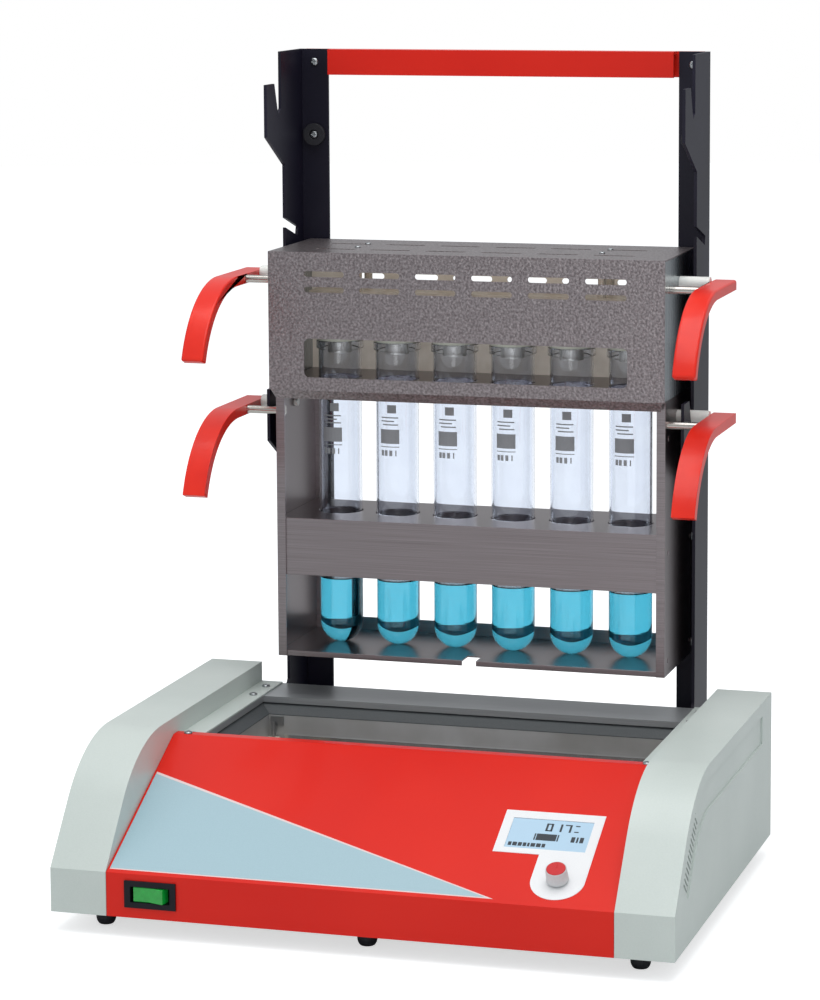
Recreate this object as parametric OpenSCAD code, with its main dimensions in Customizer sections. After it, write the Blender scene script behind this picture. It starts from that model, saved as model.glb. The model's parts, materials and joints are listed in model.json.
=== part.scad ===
// Infrared block digester for six sample tubes: a grey and red bench housing with
// an open heating well, a steel rack that hangs by its handle bars on two hooked
// uprights behind the well, and an exhaust hood that stands on the tubes.
// X runs to the operator's right, Y to the rear, Z up from the bench.

/* [Housing] */
// Depth of the housing, from the front strip's face to the rear panel
housing_d = 426; // [424:1:460]
// Width of each side cover
cover_w = 52.7; // [46:0.1:70]
// Height of the side covers above the bench
cover_top = 157.5; // [153:0.5:175]
// Height of the deck around the well above the bench
deck_top = 137; // [130:0.5:143]
// Gap between the bench and the underside of the housing
ground_gap = 18; // [14:1:26]
// Height of the upright strip at the front
strip_h = 40; // [34:1:46]
// Sheet thickness of covers, panels and deck
sheet = 1.5; // [1:0.1:2]
// Radius of the shoulder at the front of the side covers
shoulder_r = 130; // [90:1:140]
// Steepness of the covers' nose below the shoulder, in degrees
nose_angle = 50; // [45:1:56]
// Running gap between one housing sheet and the next
seam = 0.3; // [0.2:0.05:0.6]

/* [Front panel] */
// Height of the panel's top edge above the deck
panel_rise = 5.5; // [4:0.5:8]
// Depth of the flat lip between the panel's top edge and the well
lip_d = 12.8; // [10:0.2:15]

/* [Deck and well] */
// Depth of the deck behind the well
deck_d = 59.3; // [56:0.1:66]
// Width of the deck strip on each side of the well
strip_w = 21.8; // [18:0.1:28]
// Room on each side between the rack and the edge of the well
well_side_room = 16.7; // [12:0.1:20]
// Room in front of and behind the rack in the well
well_end_room = 32; // [28:1:36]
// Depth of the well below the deck
well_depth = 106; // [90:1:108]
// Height of the dark collar round the mouth of the well
collar_h = 12; // [8:1:16]
// Dark gap between the deck and the collar
collar_gap = 6.5; // [4:0.5:9]
// Thickness of the insulation boards round the well
board_t = 20; // [14:1:24]
// Diameter of the quartz heater tubes
heater_d = 10; // [8:0.5:11]

/* [Feet] */
// Diameter of the rubber feet
foot_d = 18; // [16:1:22]
// Distance of the feet from the front and rear of the housing
foot_inset = 37; // [28:1:60]

/* [Tubes] */
// Spacing of the tubes, centre to centre
tube_pitch = 58.35; // [56:0.05:62]
// Outer diameter of a tube
tube_d = 42; // [38:0.5:44]
// Length of a tube
tube_h = 300; // [280:1:310]
// Wall thickness of a tube
tube_wall = 2; // [1.6:0.1:2.6]
// Depth of the liquid in a tube
fill_h = 64; // [30:1:90]
// Gap round a tube in the rack's holes
hole_gap = 0.9; // [0.6:0.1:1.5]

/* [Rack] */
// Height of the rack's underside above the bench when it hangs
rack_bottom = 179; // [172:1:190]
// Room between the outer tubes and the rack's sides
rack_end = 25.7; // [22:0.1:32]
// Room in front of and behind the tubes
rack_margin = 37.2; // [34:0.1:40]
// Height of the rack
rack_h = 269; // [255:1:275]
// Height of the bottom plate's top above the rack's underside
plate_rise = 5.2; // [4:0.1:8]
// Height of the middle shelf above the rack's underside
shelf_h = 136.5; // [120:0.5:150]
// Height of the band in front of the middle shelf
band_h = 56; // [45:1:65]
// Width of the folds along the edges of the rack's sides
rack_fold = 8.5; // [6:0.5:12]
// Sheet thickness of the rack
rack_t = 1.5; // [1:0.1:2]
// Height of the hanging bar above the rack's underside
rack_bar_h = 242.7; // [240:0.1:246]

/* [Hood] */
// Gap between the rack and the inside of the hood
hood_gap = 0.9; // [0.6:0.1:1.5]
// Sheet thickness of the hood
hood_t = 1.2; // [1:0.1:1.6]
// How far the hood reaches in front of the rack
hood_front_reach = 13.8; // [12:0.2:18]
// Height of the hood's top above the tubes' rims
hood_above = 92.5; // [88:0.5:100]
// Depth of the hood's walls below the tubes' rims
hood_below = 41; // [38:0.5:46]
// Height of the folded hem under the hood's front
hem_h = 9; // [6:0.5:11]
// Height of the viewing window
window_h = 37.5; // [30:0.5:42]
// Length of a vent slot
slot_l = 40; // [30:1:46]
// Width of a vent slot
slot_w = 5.5; // [4:0.5:7]
// Outer diameter of the exhaust spigot
spigot_d = 25; // [20:1:28]
// Length of the spigot behind the hood
spigot_l = 25; // [20:1:40]

/* [Handles] */
// Width of a grip
grip_w = 22; // [18:0.5:26]
// Thickness of a grip
grip_t = 9.5; // [8:0.5:11]
// Radius of the grip's outer curve
grip_r = 106; // [90:1:115]
// Angle through which the grip bends down
grip_bend = 70; // [50:1:75]
// Length of the grip's level part
grip_flat = 87; // [80:1:95]
// Gap between the uprights and the grips
grip_gap = 17; // [12:0.5:24]
// Diameter of the rear bar, by which a handle hangs
bar_d = 13; // [12.6:0.1:13.6]
// Height of the rear bar's middle above the grip's middle
bar_rise = 2; // [1.5:0.1:2.5]
// Distance from the rear bar forward to the front rod
rod_ahead = 44.5; // [43:0.5:46]
// Diameter of the front rod
rod_d = 7.5; // [6:0.5:8]
// Height of the hood's grips below the hood's top
hood_grip_drop = 29.4; // [26:0.2:34]

/* [Uprights] */
// Gap between the hood and each upright
upright_gap = 9.4; // [7:0.1:12]
// Sheet thickness of the uprights
upright_t = 3; // [2:0.5:4]
// Depth of an upright behind the housing
upright_d = 65.8; // [64:0.2:72]
// Distance from the uprights' rear faces forward to the hooks' seats
seat_d = 74.9; // [73:0.1:77]
// Width of the upright's rear flange
flange_w = 30; // [26:1:34]
// Height of the upper hook above the lower one
hook_rise = 295.5; // [285:0.5:300]
// Height of the upright's top above the upper hook's seat
top_above_hook = 47.3; // [40:1:55]
// Height of the red crossbar
crossbar_h = 25; // [20:1:30]
// Depth of the red crossbar
crossbar_d = 14; // [10:1:15]
// Diameter of the rubber buffers
buffer_d = 22; // [16:1:24]

/* [Controls] */
// Diameter of the knob
knob_d = 19; // [17:1:26]
// Height of the knob above the panel
knob_h = 14.5; // [13:0.5:22]
// Distance from the housing's middle to the knob
knob_x = 174.2; // [165:0.2:180]
// Distance up the slope from its lower edge to the knob
knob_up = 33; // [30:0.5:36]
// Travel of the knob when it is pushed
push_travel = 1.2; // [0.8:0.1:1.5]
// Width of the display plate
plate_w = 90; // [86:1:96]
// Width of the display window
lcd_w = 73; // [66:1:76]
// Height of the display window along the slope
lcd_h = 39.5; // [34:0.5:42]
// Width of the power switch's housing
switch_w = 48.4; // [44:0.2:54]
// Height of the power switch's housing
switch_h = 24.6; // [22:0.2:28]
// Width of the rocker
rocker_w = 29.6; // [26:0.2:32]
// Height of the rocker
rocker_h = 13.4; // [12:0.2:15]
// Tilt of the rocker at rest, in degrees
rocker_tilt = 9; // [6:0.5:11]

/* [Hidden] */

tube_count = 6;
// The rocker's pivot lies this far behind the strip's face
pivot_in = 6;
// Half widths, from the middle outwards
row_half = (tube_count - 1) / 2 * tube_pitch;
rack_half = row_half + tube_d / 2 + rack_end;
hood_half = rack_half + hood_gap + hood_t;
upright_out = hood_half + upright_gap + upright_t;
grip_in = upright_out + grip_gap;
well_half = rack_half + well_side_room;
inner_half = well_half + strip_w;
outer_half = inner_half + cover_w;
foot_x = outer_half - 38;
// The rear bar lies this far in front of the tubes' line
bar_ahead = 6.5;
rack_d = tube_d + 2 * rack_margin;
// Depths: the part's bounding box is centred on Y = 0
spigot_reach = upright_d - seat_d + bar_ahead + rack_d / 2 + hood_gap + hood_t + spigot_l;
// The rocker's raised end stands this far in front of the strip
rocker_out = rocker_w / 2 * sin(rocker_tilt) + (pivot_in + 3.2) * cos(rocker_tilt) - pivot_in;
front_y = (rocker_out - housing_d - max(upright_d + upright_t, spigot_reach)) / 2;
rear_y = front_y + housing_d;
upright_y = rear_y + upright_d;
bar_y = upright_y - seat_d;
rod_y = bar_y - rod_ahead;
tube_y = bar_y + bar_ahead;
rack_y0 = tube_y - rack_d / 2;
rack_y1 = tube_y + rack_d / 2;
hood_y0 = rack_y0 - hood_front_reach;
hood_y1 = rack_y1 + hood_gap + hood_t;
well_y1 = rear_y - deck_d;
well_y0 = well_y1 - rack_d - 2 * well_end_room;
panel_y = well_y0 - lip_d;
// Heights
strip_top = ground_gap + strip_h;
panel_top = deck_top + panel_rise;
floor_z = deck_top - well_depth;
tray_z = ground_gap + sheet;
tube_z = rack_bottom + plate_rise;
rim_z = tube_z + tube_h;
hood_top = rim_z + hood_above;
hood_bottom = rim_z - hood_below;
seat_z = rack_bottom + rack_bar_h;
upper_z = seat_z + hook_rise;
upright_top = upper_z + top_above_hook;
rack_grip_z = seat_z - bar_rise;
hood_grip_z = hood_top - hood_grip_drop;
hood_bar_z = hood_grip_z + bar_rise;
// The front panel's slope
slope = atan2(panel_top - strip_top, panel_y - front_y);
// The shoulder of the side covers starts here
shoulder_y = front_y + shoulder_r * sin(nose_angle)
  + (cover_top - shoulder_r * (1 - cos(nose_angle)) - strip_top) / tan(nose_angle);
// Embossed band on the outer face of each cover
emboss = 1.6;
band_in = 13.5;
band_out = 40;
// Collar, liner and boards of the well
collar_top = deck_top - collar_gap;
collar_low = collar_top - collar_h + 3.5;
collar_in = 9;
liner_t = 1.2;
liner_x = well_half - collar_in;
liner_y0 = well_y0 + collar_in;
liner_y1 = well_y1 - collar_in;
liner_top = collar_low - 1;
heater_z = [15, 36, 57];
heater_y = 13;
// Display plate, window and knob on the slope
plate_r = 24;
plate_up = 65;
plate_h = 55.6;
plate_t = 0.5;
lcd_x = knob_x + plate_r - plate_w / 2;
lcd_up = plate_up + plate_h / 2 - 1.4;
// Knob, shaft and plunger
shaft_r = 3;
shaft_fit = 0.05;
bush_r = 4.5;
bush_top = 3;
bore_low = 3.5;
plunger_r = 4.5;
plunger_t = 3;
knob_z = plate_t + push_travel + 0.6;
cap_r = knob_d * 0.44;
// Power switch
switch_x = -189;
switch_z = ground_gap + 21.9;
rocker_pin_r = 1.5;
// Mains inlet
inlet_x = -120;
inlet_z = ground_gap + 46;
// Hooks: half the notch's room round the bar, and the slant of the finger's rear edge
seat_gap = 0.3;
finger_slant = 19.2;
// Buffers and screws on the uprights
buffer_t = 5.4;
buffer_sink = 2.6;
buffer_z = [upper_z - 37.2, seat_z - 37.2];
flange_screw_z = [upright_top - 12.8, seat_z - 128, deck_top + 51.9];
mount_screw_z = [ground_gap + 40, ground_gap + 95];
// Hood openings
window_side = 35.7;
window_z = rim_z - 9.5;
slot_pitch = 55.3;
manifold_z = rim_z + 22;
manifold_h = 28;
manifold_half = row_half + tube_d / 2 + 3;
dropper_d = 23;
stud_r = 2;
stud_x = 121.5;
stud_y = [tube_y - 17, tube_y + 17];
rim_h = 8;
rivet_y = [tube_y - 44, tube_y + 52];
rivet_z = [14, 117.5, 226.7];
// Screws of the strips and of the panel's lip
strip_screw_x = well_half + 9;
strip_screw_y = [well_y0 + 6.5, well_y1 - 4, well_y1 + 34];
lip_screw_y = panel_y + 6;
// Radius of the rocker's round ends about its pivot
rocker_r = 18;

// A box between two opposite corners
module span(a, b) translate(a) cube(b - a);

// Turns a flat [y, z] outline into a plate that starts at x and is t thick
module yz(x, t) translate([x, 0, 0]) rotate([90, 0, 90]) linear_extrude(t) children();

// Turns a flat [x, z] outline into a plate that starts at y and is t thick
module xz(y, t) translate([0, y + t, 0]) rotate([90, 0, 0]) linear_extrude(t) children();

// Both sides: the children and their mirror image
module both() {
  children();
  mirror([1, 0, 0]) children();
}

// A rod along X from x0 to x1
module x_rod(x0, x1, y, z, r, fn = 48)
  translate([x0, y, z]) rotate([0, 90, 0]) cylinder(r = r, h = x1 - x0, $fn = fn);

// A rod along Y from y0 to y1
module y_rod(y0, y1, x, z, r, fn = 48)
  translate([x, y0, z]) rotate([-90, 0, 0]) cylinder(r = r, h = y1 - y0, $fn = fn);

// A rod along Z from z0 to z1
module z_rod(z0, z1, x, y, r, fn = 48)
  translate([x, y, z0]) cylinder(r = r, h = z1 - z0, $fn = fn);

function unit(v) = v / norm(v);
function side(v) = [-v[1], v[0]];

// The points of a path moved sideways by t, with mitred corners
function beside(path, t) = [
  for (i = [0 : len(path) - 1])
    let (
      a = side(unit(i == 0 ? path[1] - path[0] : path[i] - path[i - 1])),
      b = side(unit(i == len(path) - 1 ? path[i] - path[i - 1] : path[i + 1] - path[i])),
      m = a + b
    )
    path[i] + m * (2 * t / (m * m))
];

// Section of a bent sheet: the path is one face, the other lies t to its left
module bent(path, t) {
  other = beside(path, t);
  polygon(concat(path, [for (i = [len(other) - 1 : -1 : 0]) other[i]]));
}

// A flat rectangle with round corners, centred
module round_rect(w, h, r) {
  square([w - 2 * r, h], center = true);
  square([w, h - 2 * r], center = true);
  for (x = [-1, 1], y = [-1, 1])
    translate([x * (w / 2 - r), y * (h / 2 - r)]) circle(r, $fn = 32);
}

// A slot with round ends along the first axis, centred
module slot(l, w) {
  square([l - w, w], center = true);
  for (x = [-1, 1]) translate([x * (l - w) / 2, 0]) circle(w / 2, $fn = 24);
}

// The slope's own axes: X across, Y up the slope, Z out of the panel
module on_slope(x, up)
  translate([0, front_y, strip_top]) rotate([slope, 0, 0]) translate([x, up, 0]) children();

// Pan-head screw: head on the origin's +Z side, shank below with length l
module screw(r, l) {
  cylinder(r1 = 2 * r, r2 = 1.5 * r, h = 1.1 * r, $fn = 32);
  translate([0, 0, -l]) cylinder(r = r, h = l, $fn = 24);
}

// ---- Housing ----

// Pan with folded edges that closes the housing from below
module base_tray() color("silver") {
  x = outer_half - sheet - seam;
  y0 = front_y + sheet + seam;
  y1 = rear_y - sheet - seam;
  difference() {
    span([-x, y0, ground_gap], [x, y1, tray_z + 8]);
    span([-x + sheet, y0 + sheet, tray_z], [x - sheet, y1 - sheet, tray_z + 9]);
    for (sx = [-1, 1], k = [0 : 7])
      translate([sx * 150, front_y + 60 + 11 * k, ground_gap - 1])
        linear_extrude(sheet + 2) slot(90, 4);
    for (x = [-foot_x, 0, foot_x], y = [front_y + foot_inset, rear_y - foot_inset])
      z_rod(ground_gap - 1, tray_z + 1, x, y, 2.1, 24);
  }
}

// Side view of a cover, made smaller by i all round; it ends at z = low. The sharp
// outline is cut back to the shoulder's circle between the two rays from its centre.
module cover_profile(i, low) {
  r = shoulder_r - i;
  c = [shoulder_y, cover_top - shoulder_r];
  nose = [-sin(nose_angle), cos(nose_angle)];
  nose_z = strip_top - i * (1 / cos(nose_angle) - tan(nose_angle));
  intersection() {
    polygon([[rear_y - i, low], [rear_y - i, cover_top - i],
      [shoulder_y - r * tan(nose_angle / 2), cover_top - i], [front_y + i, nose_z],
      [front_y + i, low]]);
    union() {
      translate(c) circle(r + 0.02, $fn = 128);
      polygon([c, c + [0, r + 9], [rear_y + 9, cover_top + 9], [rear_y + 9, low - 9],
        [front_y - 9, low - 9], [front_y - 9, strip_top], c + (r + 9) * nose]);
    }
  }
}

// The band that is pressed into a cover's outer face, grown by g
module band(g) intersection() {
  difference() {
    cover_profile(band_in - g, ground_gap);
    cover_profile(band_out + g, ground_gap - 1);
  }
  translate([front_y, strip_top]) rotate(nose_angle) translate([33 - g, -600]) square([900, 700]);
  translate([front_y, 0]) square([housing_d - band_out - 5 + g, cover_top]);
}

// Right-hand cover: hollow, open below, with louvres and the strip along the well
module side_cover() {
  x1 = outer_half;
  difference() {
    union() {
      difference() {
        yz(inner_half, cover_w) cover_profile(0, ground_gap);
        yz(inner_half + sheet, cover_w - 2 * sheet) cover_profile(sheet, ground_gap - 1);
      }
      yz(x1 - sheet - emboss, emboss + sheet / 2) band(2);
    }
    yz(x1 - emboss, emboss + 1) band(0);
    for (k = [0 : 12])
      yz(x1 - sheet - emboss - 1, sheet + emboss + 2)
        translate([front_y, strip_top]) rotate(nose_angle)
          translate([38 + 5.4 * k, -37]) square([2.2, 21]);
    span([inner_half - 1, front_y + sheet, ground_gap - 1],
      [inner_half + sheet + 1, rear_y - sheet, ground_gap + 20]);
  }
  difference() {
    span([well_half, well_y0 + seam, deck_top],
      [inner_half + sheet / 2, rear_y - sheet / 2, deck_top + sheet]);
    for (y = strip_screw_y) z_rod(deck_top - 1, deck_top + 3, strip_screw_x, y, 2.1, 24);
  }
}
module left_cover() color("#c9d1cf") mirror([1, 0, 0]) side_cover();
module right_cover() color("#c9d1cf") side_cover();

// Red sheet: strip, slope and lip, with openings for switch, display and knob
module front_panel() color("#d8271f") {
  w = inner_half - seam;
  difference() {
    yz(-w, 2 * w) bent([[front_y, ground_gap], [front_y, strip_top], [panel_y, panel_top],
      [well_y0, panel_top], [well_y0, deck_top - 5]], -sheet);
    translate([switch_x, front_y - 1, switch_z]) rotate([-90, 0, 0])
      linear_extrude(sheet + 2) square([switch_w - 3.4, switch_h - 3.4], center = true);
    on_slope(lcd_x, lcd_up) translate([0, 0, -sheet - 1])
      linear_extrude(sheet + 2) square([lcd_w + 0.6, lcd_h + 0.6], center = true);
    on_slope(knob_x, knob_up) z_rod(-sheet - 1, 1, 0, 0, bush_r + 0.1);
    for (sx = [-1, 1]) z_rod(panel_top - 3, panel_top + 1, sx * strip_screw_x, lip_screw_y, 2.1, 24);
  }
}

// Rear wall with the inlet's cut-out and cooling slots
module rear_panel() color("#c9d1cf") {
  w = inner_half - seam;
  difference() {
    span([-w, rear_y - sheet, ground_gap], [w, rear_y, deck_top - sheet]);
    span([inlet_x - 14, rear_y - 3, inlet_z - 10.2], [inlet_x + 14, rear_y + 1, inlet_z + 10.2]);
    for (k = [0 : 5], x = [0, 60])
      xz(rear_y - 3, 4) translate([x + 10, ground_gap + 30 + 10 * k]) slot(48, 4);
    for (sx = [-1, 1], z = mount_screw_z)
      y_rod(rear_y - 3, rear_y + 1, sx * (upright_out - 14), z, 2.6, 24);
  }
}

// Steel deck behind the well with rails beside it, folded down round the well
module deck_frame() color("#9a9ea1") {
  w = inner_half - seam;
  difference() {
    union() {
      span([-w, well_y0 + seam, deck_top - sheet], [w, rear_y, deck_top]);
      span([-well_half - sheet, well_y0 + seam, deck_top - 6],
        [well_half + sheet, well_y1 + sheet, deck_top]);
    }
    span([-well_half, well_y0 - 1, deck_top - 8], [well_half, well_y1, deck_top + 1]);
    for (sx = [-1, 1], y = strip_screw_y)
      z_rod(deck_top - 8, deck_top + 1, sx * strip_screw_x, y, 2.1, 24);
  }
}

// One side of the mitred collar: section seen along the side, e is the inner edge
module collar_section(e) {
  t = -1.2;
  translate([e, 0]) bent([[0, liner_top], [0, collar_low], [collar_in + 3, collar_top],
    [collar_in + 8, collar_top], [collar_in + 8, collar_low - 3]], t);
}

// Sloping dark ledge between the deck and the liner
module well_collar() color("#55585b") {
  w = collar_in + 9;
  x = liner_x;
  yc = (liner_y0 + liner_y1) / 2;
  y = liner_y1 - yc;
  translate([0, yc, 0]) {
    for (sx = [0, 1]) mirror([sx, 0, 0]) intersection() {
      translate([0, y + w, 0]) rotate([90, 0, 0]) linear_extrude(2 * (y + w)) collar_section(x);
      linear_extrude(deck_top)
        polygon([[x - 1, y - 1], [x + w, y + w], [x + w, -y - w], [x - 1, -y + 1]]);
    }
    for (sy = [0, 1]) mirror([0, sy, 0]) intersection() {
      yz(-x - w, 2 * (x + w)) collar_section(y);
      linear_extrude(deck_top)
        polygon([[x - 1, y - 1], [x + w, y + w], [-x - w, y + w], [-x + 1, y - 1]]);
    }
  }
}

// Steel box of the well
module well_liner() color("#8c8f90") difference() {
  span([-liner_x - liner_t, liner_y0 - liner_t, floor_z - liner_t],
    [liner_x + liner_t, liner_y1 + liner_t, liner_top]);
  span([-liner_x, liner_y0, floor_z], [liner_x, liner_y1, liner_top + 1]);
}

// Boards of insulation under and round the liner
module insulation_boards() color("#d9d4c4") {
  x = liner_x + liner_t;
  y0 = liner_y0 - liner_t;
  y1 = liner_y1 + liner_t;
  difference() {
    span([-x - board_t, y0 - board_t, tray_z], [x + board_t, y1 + board_t, collar_low - 3]);
    span([-x, y0, floor_z - liner_t], [x, y1, deck_top]);
  }
}

// Ceramic end blocks that carry the heater tubes
module heater_ceramics() color("#e8e2d2") difference() {
  for (sx = [0, 1], y = [liner_y0 + 2, liner_y1 - 24]) mirror([sx, 0, 0])
    span([liner_x - 12, y, floor_z], [liner_x, y + 22, floor_z + heater_z[2] + 12]);
  for (y = [liner_y0 + heater_y, liner_y1 - heater_y], z = heater_z)
    x_rod(-liner_x - 1, liner_x + 1, y, floor_z + z, heater_d / 2 + 0.1);
}

// Quartz heaters: three in front of the tubes and three behind
module heater_tubes() color("#e9dcd2")
  for (y = [liner_y0 + heater_y, liner_y1 - heater_y], z = heater_z)
    x_rod(-liner_x + 1, liner_x - 1, y, floor_z + z, heater_d / 2);

// Polished sheets behind the heaters
module reflectors() color("#dcdcdc") {
  h = heater_z[2] + 14;
  for (y = [liner_y0, liner_y1 - 1])
    span([-liner_x + 16, y, floor_z], [liner_x - 16, y + 1, floor_z + h]);
}

// Sheathed probe in the well's rear left corner, behind a guard strip
module temperature_probe() color("#a9abaa") {
  span([-liner_x + 2, liner_y1 - 2, floor_z + 80], [-liner_x + 15, liner_y1, liner_top - 1]);
  z_rod(floor_z + heater_z[2] + 14, floor_z + 84, -liner_x + 6, liner_y1 - 5, 2, 24);
  span([-liner_x + 4, liner_y1 - 5, floor_z + 81], [-liner_x + 8, liner_y1 - 1, floor_z + 83]);
}

// ---- Controls ----

// White plate with a round tab for the knob
module display_plate() color("#eef1f3") on_slope(0, 0) linear_extrude(plate_t) difference() {
  union() {
    translate([knob_x + plate_r - plate_w, plate_up]) square([plate_w, plate_h]);
    translate([knob_x - plate_r, knob_up]) square([2 * plate_r, plate_up - knob_up + 1]);
    translate([knob_x, knob_up]) circle(plate_r, $fn = 96);
  }
  translate([lcd_x, lcd_up]) square([lcd_w, lcd_h], center = true);
  translate([knob_x, knob_up]) circle(bush_r + 0.1, $fn = 48);
}

// Liquid-crystal display behind the panel, its window standing in the opening
module display_module() color("#b9d6e6") on_slope(lcd_x, lcd_up) {
  translate([0, 0, -sheet - 8]) linear_extrude(8) square([lcd_w + 8, lcd_h + 8], center = true);
  translate([0, 0, -sheet - 0.5])
    linear_extrude(sheet + 0.4) square([lcd_w, lcd_h], center = true);
}

// Body of the push-and-turn control: bush through the panel, chamber below
module encoder_body() color("#3a3d40") on_slope(knob_x, knob_up) difference() {
  union() {
    translate([-7, -7, -sheet - 10]) cube([14, 14, 10]);
    z_rod(-sheet - 1, bush_top, 0, 0, bush_r);
  }
  z_rod(-sheet - 9, bush_top + 1, 0, 0, shaft_r + shaft_fit);
  z_rod(-sheet - 9, -sheet - bore_low, 0, 0, plunger_r + 0.1);
}

// Spring plunger under the shaft
module encoder_plunger() color("#c8a860") on_slope(knob_x, knob_up)
  z_rod(-sheet - bore_low - plunger_t - 0.2, -sheet - bore_low - 0.2, 0, 0, plunger_r);

// Shaft of the control
module encoder_shaft() color("#b8bbbd") on_slope(knob_x, knob_up)
  z_rod(-sheet - bore_low - 0.2, knob_h - 4, 0, 0, shaft_r);

// Knob with a recess for the bush below and for the cap above
module knob() color("#d6dadc") on_slope(knob_x, knob_up) difference() {
  translate([0, 0, knob_z])
    cylinder(d1 = knob_d + 0.8, d2 = knob_d - 0.6, h = knob_h - knob_z, $fn = 96);
  z_rod(knob_z - 1, bush_top + push_travel + 0.6, 0, 0, bush_r + 1);
  z_rod(knob_z - 1, knob_h - 4, 0, 0, shaft_r + 0.02);
  z_rod(knob_h - 1, knob_h + 1, 0, 0, cap_r + 0.1, 64);
}

// Red cap of the knob, with a raised pointer line
module knob_cap() color("#d8271f") on_slope(knob_x, knob_up) {
  z_rod(knob_h - 1, knob_h + 0.3, 0, 0, cap_r, 64);
  translate([-0.8, 1, knob_h]) cube([1.6, cap_r - 2, 0.7]);
}

// Case of the power switch: bezel outside, pocket and pivot holes inside
module switch_housing() color("#1c1e20") translate([switch_x, front_y, switch_z]) difference() {
  union() {
    translate([-switch_w / 2, -2, -switch_h / 2]) cube([switch_w, 2, switch_h]);
    translate([-switch_w / 2 + 2, -1, -switch_h / 2 + 2]) cube([switch_w - 4, 24, switch_h - 4]);
  }
  translate([-rocker_r - 0.4, -3, -rocker_h / 2 - 0.4])
    cube([2 * rocker_r + 0.8, 24, rocker_h + 0.8]);
  z_rod(-switch_h / 2 + 3, switch_h / 2 - 3, 0, pivot_in, rocker_pin_r + 0.05, 32);
}

// Green rocker, tilted about its upright pivot
module rocker() color("#2fae4a")
  translate([switch_x, front_y + pivot_in, switch_z]) rotate(-rocker_tilt) {
    intersection() {
      translate([0, 0, -rocker_h / 2]) linear_extrude(rocker_h)
        polygon([[-rocker_w / 2, -pivot_in - 3.2], [0, -pivot_in - 1],
          [rocker_w / 2, -pivot_in - 3.2], [rocker_w / 2, 2], [6, 9], [-6, 9],
          [-rocker_w / 2, 2]]);
      z_rod(-rocker_h, rocker_h, 0, 0, rocker_r, 96);
    }
    z_rod(-rocker_h / 2 - 1.6, rocker_h / 2 + 1.6, 0, 0, rocker_pin_r, 32);
  }

// Circuit board on four posts, with its transformer and capacitors
module control_board() color("#2c6b47") {
  x0 = 70;
  y0 = front_y + 22;
  z = tray_z + 14;
  span([x0, y0, z], [x0 + 130, y0 + 75, z + 1.6]);
  for (x = [x0 + 5, x0 + 125], y = [y0 + 5, y0 + 70]) z_rod(tray_z, z, x, y, 3, 24);
  span([x0 + 12, y0 + 34, z + 1.6], [x0 + 50, y0 + 68, z + 22]);
  for (k = [0 : 2]) z_rod(z + 1.6, z + 15, x0 + 66 + 16 * k, y0 + 58, 6, 32);
}

// Finned heat sink of the heater control
module heat_sink() color("#8f9499") {
  x0 = -150;
  y0 = front_y + 40;
  span([x0, y0, tray_z], [x0 + 84, y0 + 70, tray_z + 5]);
  for (k = [0 : 8])
    span([x0 + 10 * k, y0, tray_z + 5], [x0 + 10 * k + 4, y0 + 70, tray_z + 32]);
}

// Mains inlet with three flat pins, no cord fitted
module mains_inlet() color("#222426") {
  difference() {
    union() {
      span([inlet_x - 24, rear_y, inlet_z - 13], [inlet_x + 24, rear_y + 2.5, inlet_z + 13]);
      span([inlet_x - 13.7, rear_y - 22, inlet_z - 10], [inlet_x + 13.7, rear_y + 1, inlet_z + 10]);
    }
    span([inlet_x - 12, rear_y - 16, inlet_z - 8.2], [inlet_x + 12, rear_y + 4, inlet_z + 8.2]);
  }
  for (p = [[-7, -2], [0, 3], [7, -2]])
    span([inlet_x + p[0] - 1, rear_y - 17, inlet_z + p[1] - 2],
      [inlet_x + p[0] + 1, rear_y - 4, inlet_z + p[1] + 2]);
}

// Six round feet, domed below with a flat underside
module rubber_feet() color("#1b1c1e")
  for (x = [-foot_x, 0, foot_x], y = [front_y + foot_inset, rear_y - foot_inset])
    translate([x, y, 0]) {
      r = foot_d / 2;
      dome = 0.72 * r;
      z_rod(dome, ground_gap, 0, 0, r);
      intersection() {
        translate([0, 0, dome]) sphere(r, $fn = 96);
        translate([-r, -r, 0]) cube([2 * r, 2 * r, dome]);
      }
    }

// Screws of the strips along the well and of the panel's lip
module housing_screws() color("#b9bcbd") both() {
  for (y = strip_screw_y) translate([strip_screw_x, y, deck_top + sheet]) screw(2, 6);
  translate([strip_screw_x, lip_screw_y, panel_top]) screw(2, 4);
}

// ---- Uprights ----

// Outline of an upright's side plate, seen from the operator's right
module upright_outline() {
  r = bar_d / 2 + seat_gap;
  back = bar_y + r + 0.2;
  post = bar_y + 16.5;
  function finger(z) = bar_y - r / cos(finger_slant) - z * tan(finger_slant);
  difference() {
    polygon([
      [upright_y, ground_gap + 20], [upright_y, upright_top], [back, upright_top],
      for (s = [upper_z, seat_z]) each [
        if (s == seat_z) each [[post, s + 74], [back, s + 62]],
        [back, s - 8], [bar_y - 0.7, s - 12.8], [finger(-11), s - 11],
        [finger(16.9), s + 16.9], [bar_y - 36.5, s + 16.9], [bar_y - 36.5, s - 33.6],
        [post, s - 63.8]
      ],
      [post, deck_top + 3], [rear_y, deck_top - 6], [rear_y, ground_gap + 20]
    ]);
    translate([post - 2, upper_z - 120]) rotate(-17) translate([-6, -4.5]) square([48, 9]);
  }
}

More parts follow.
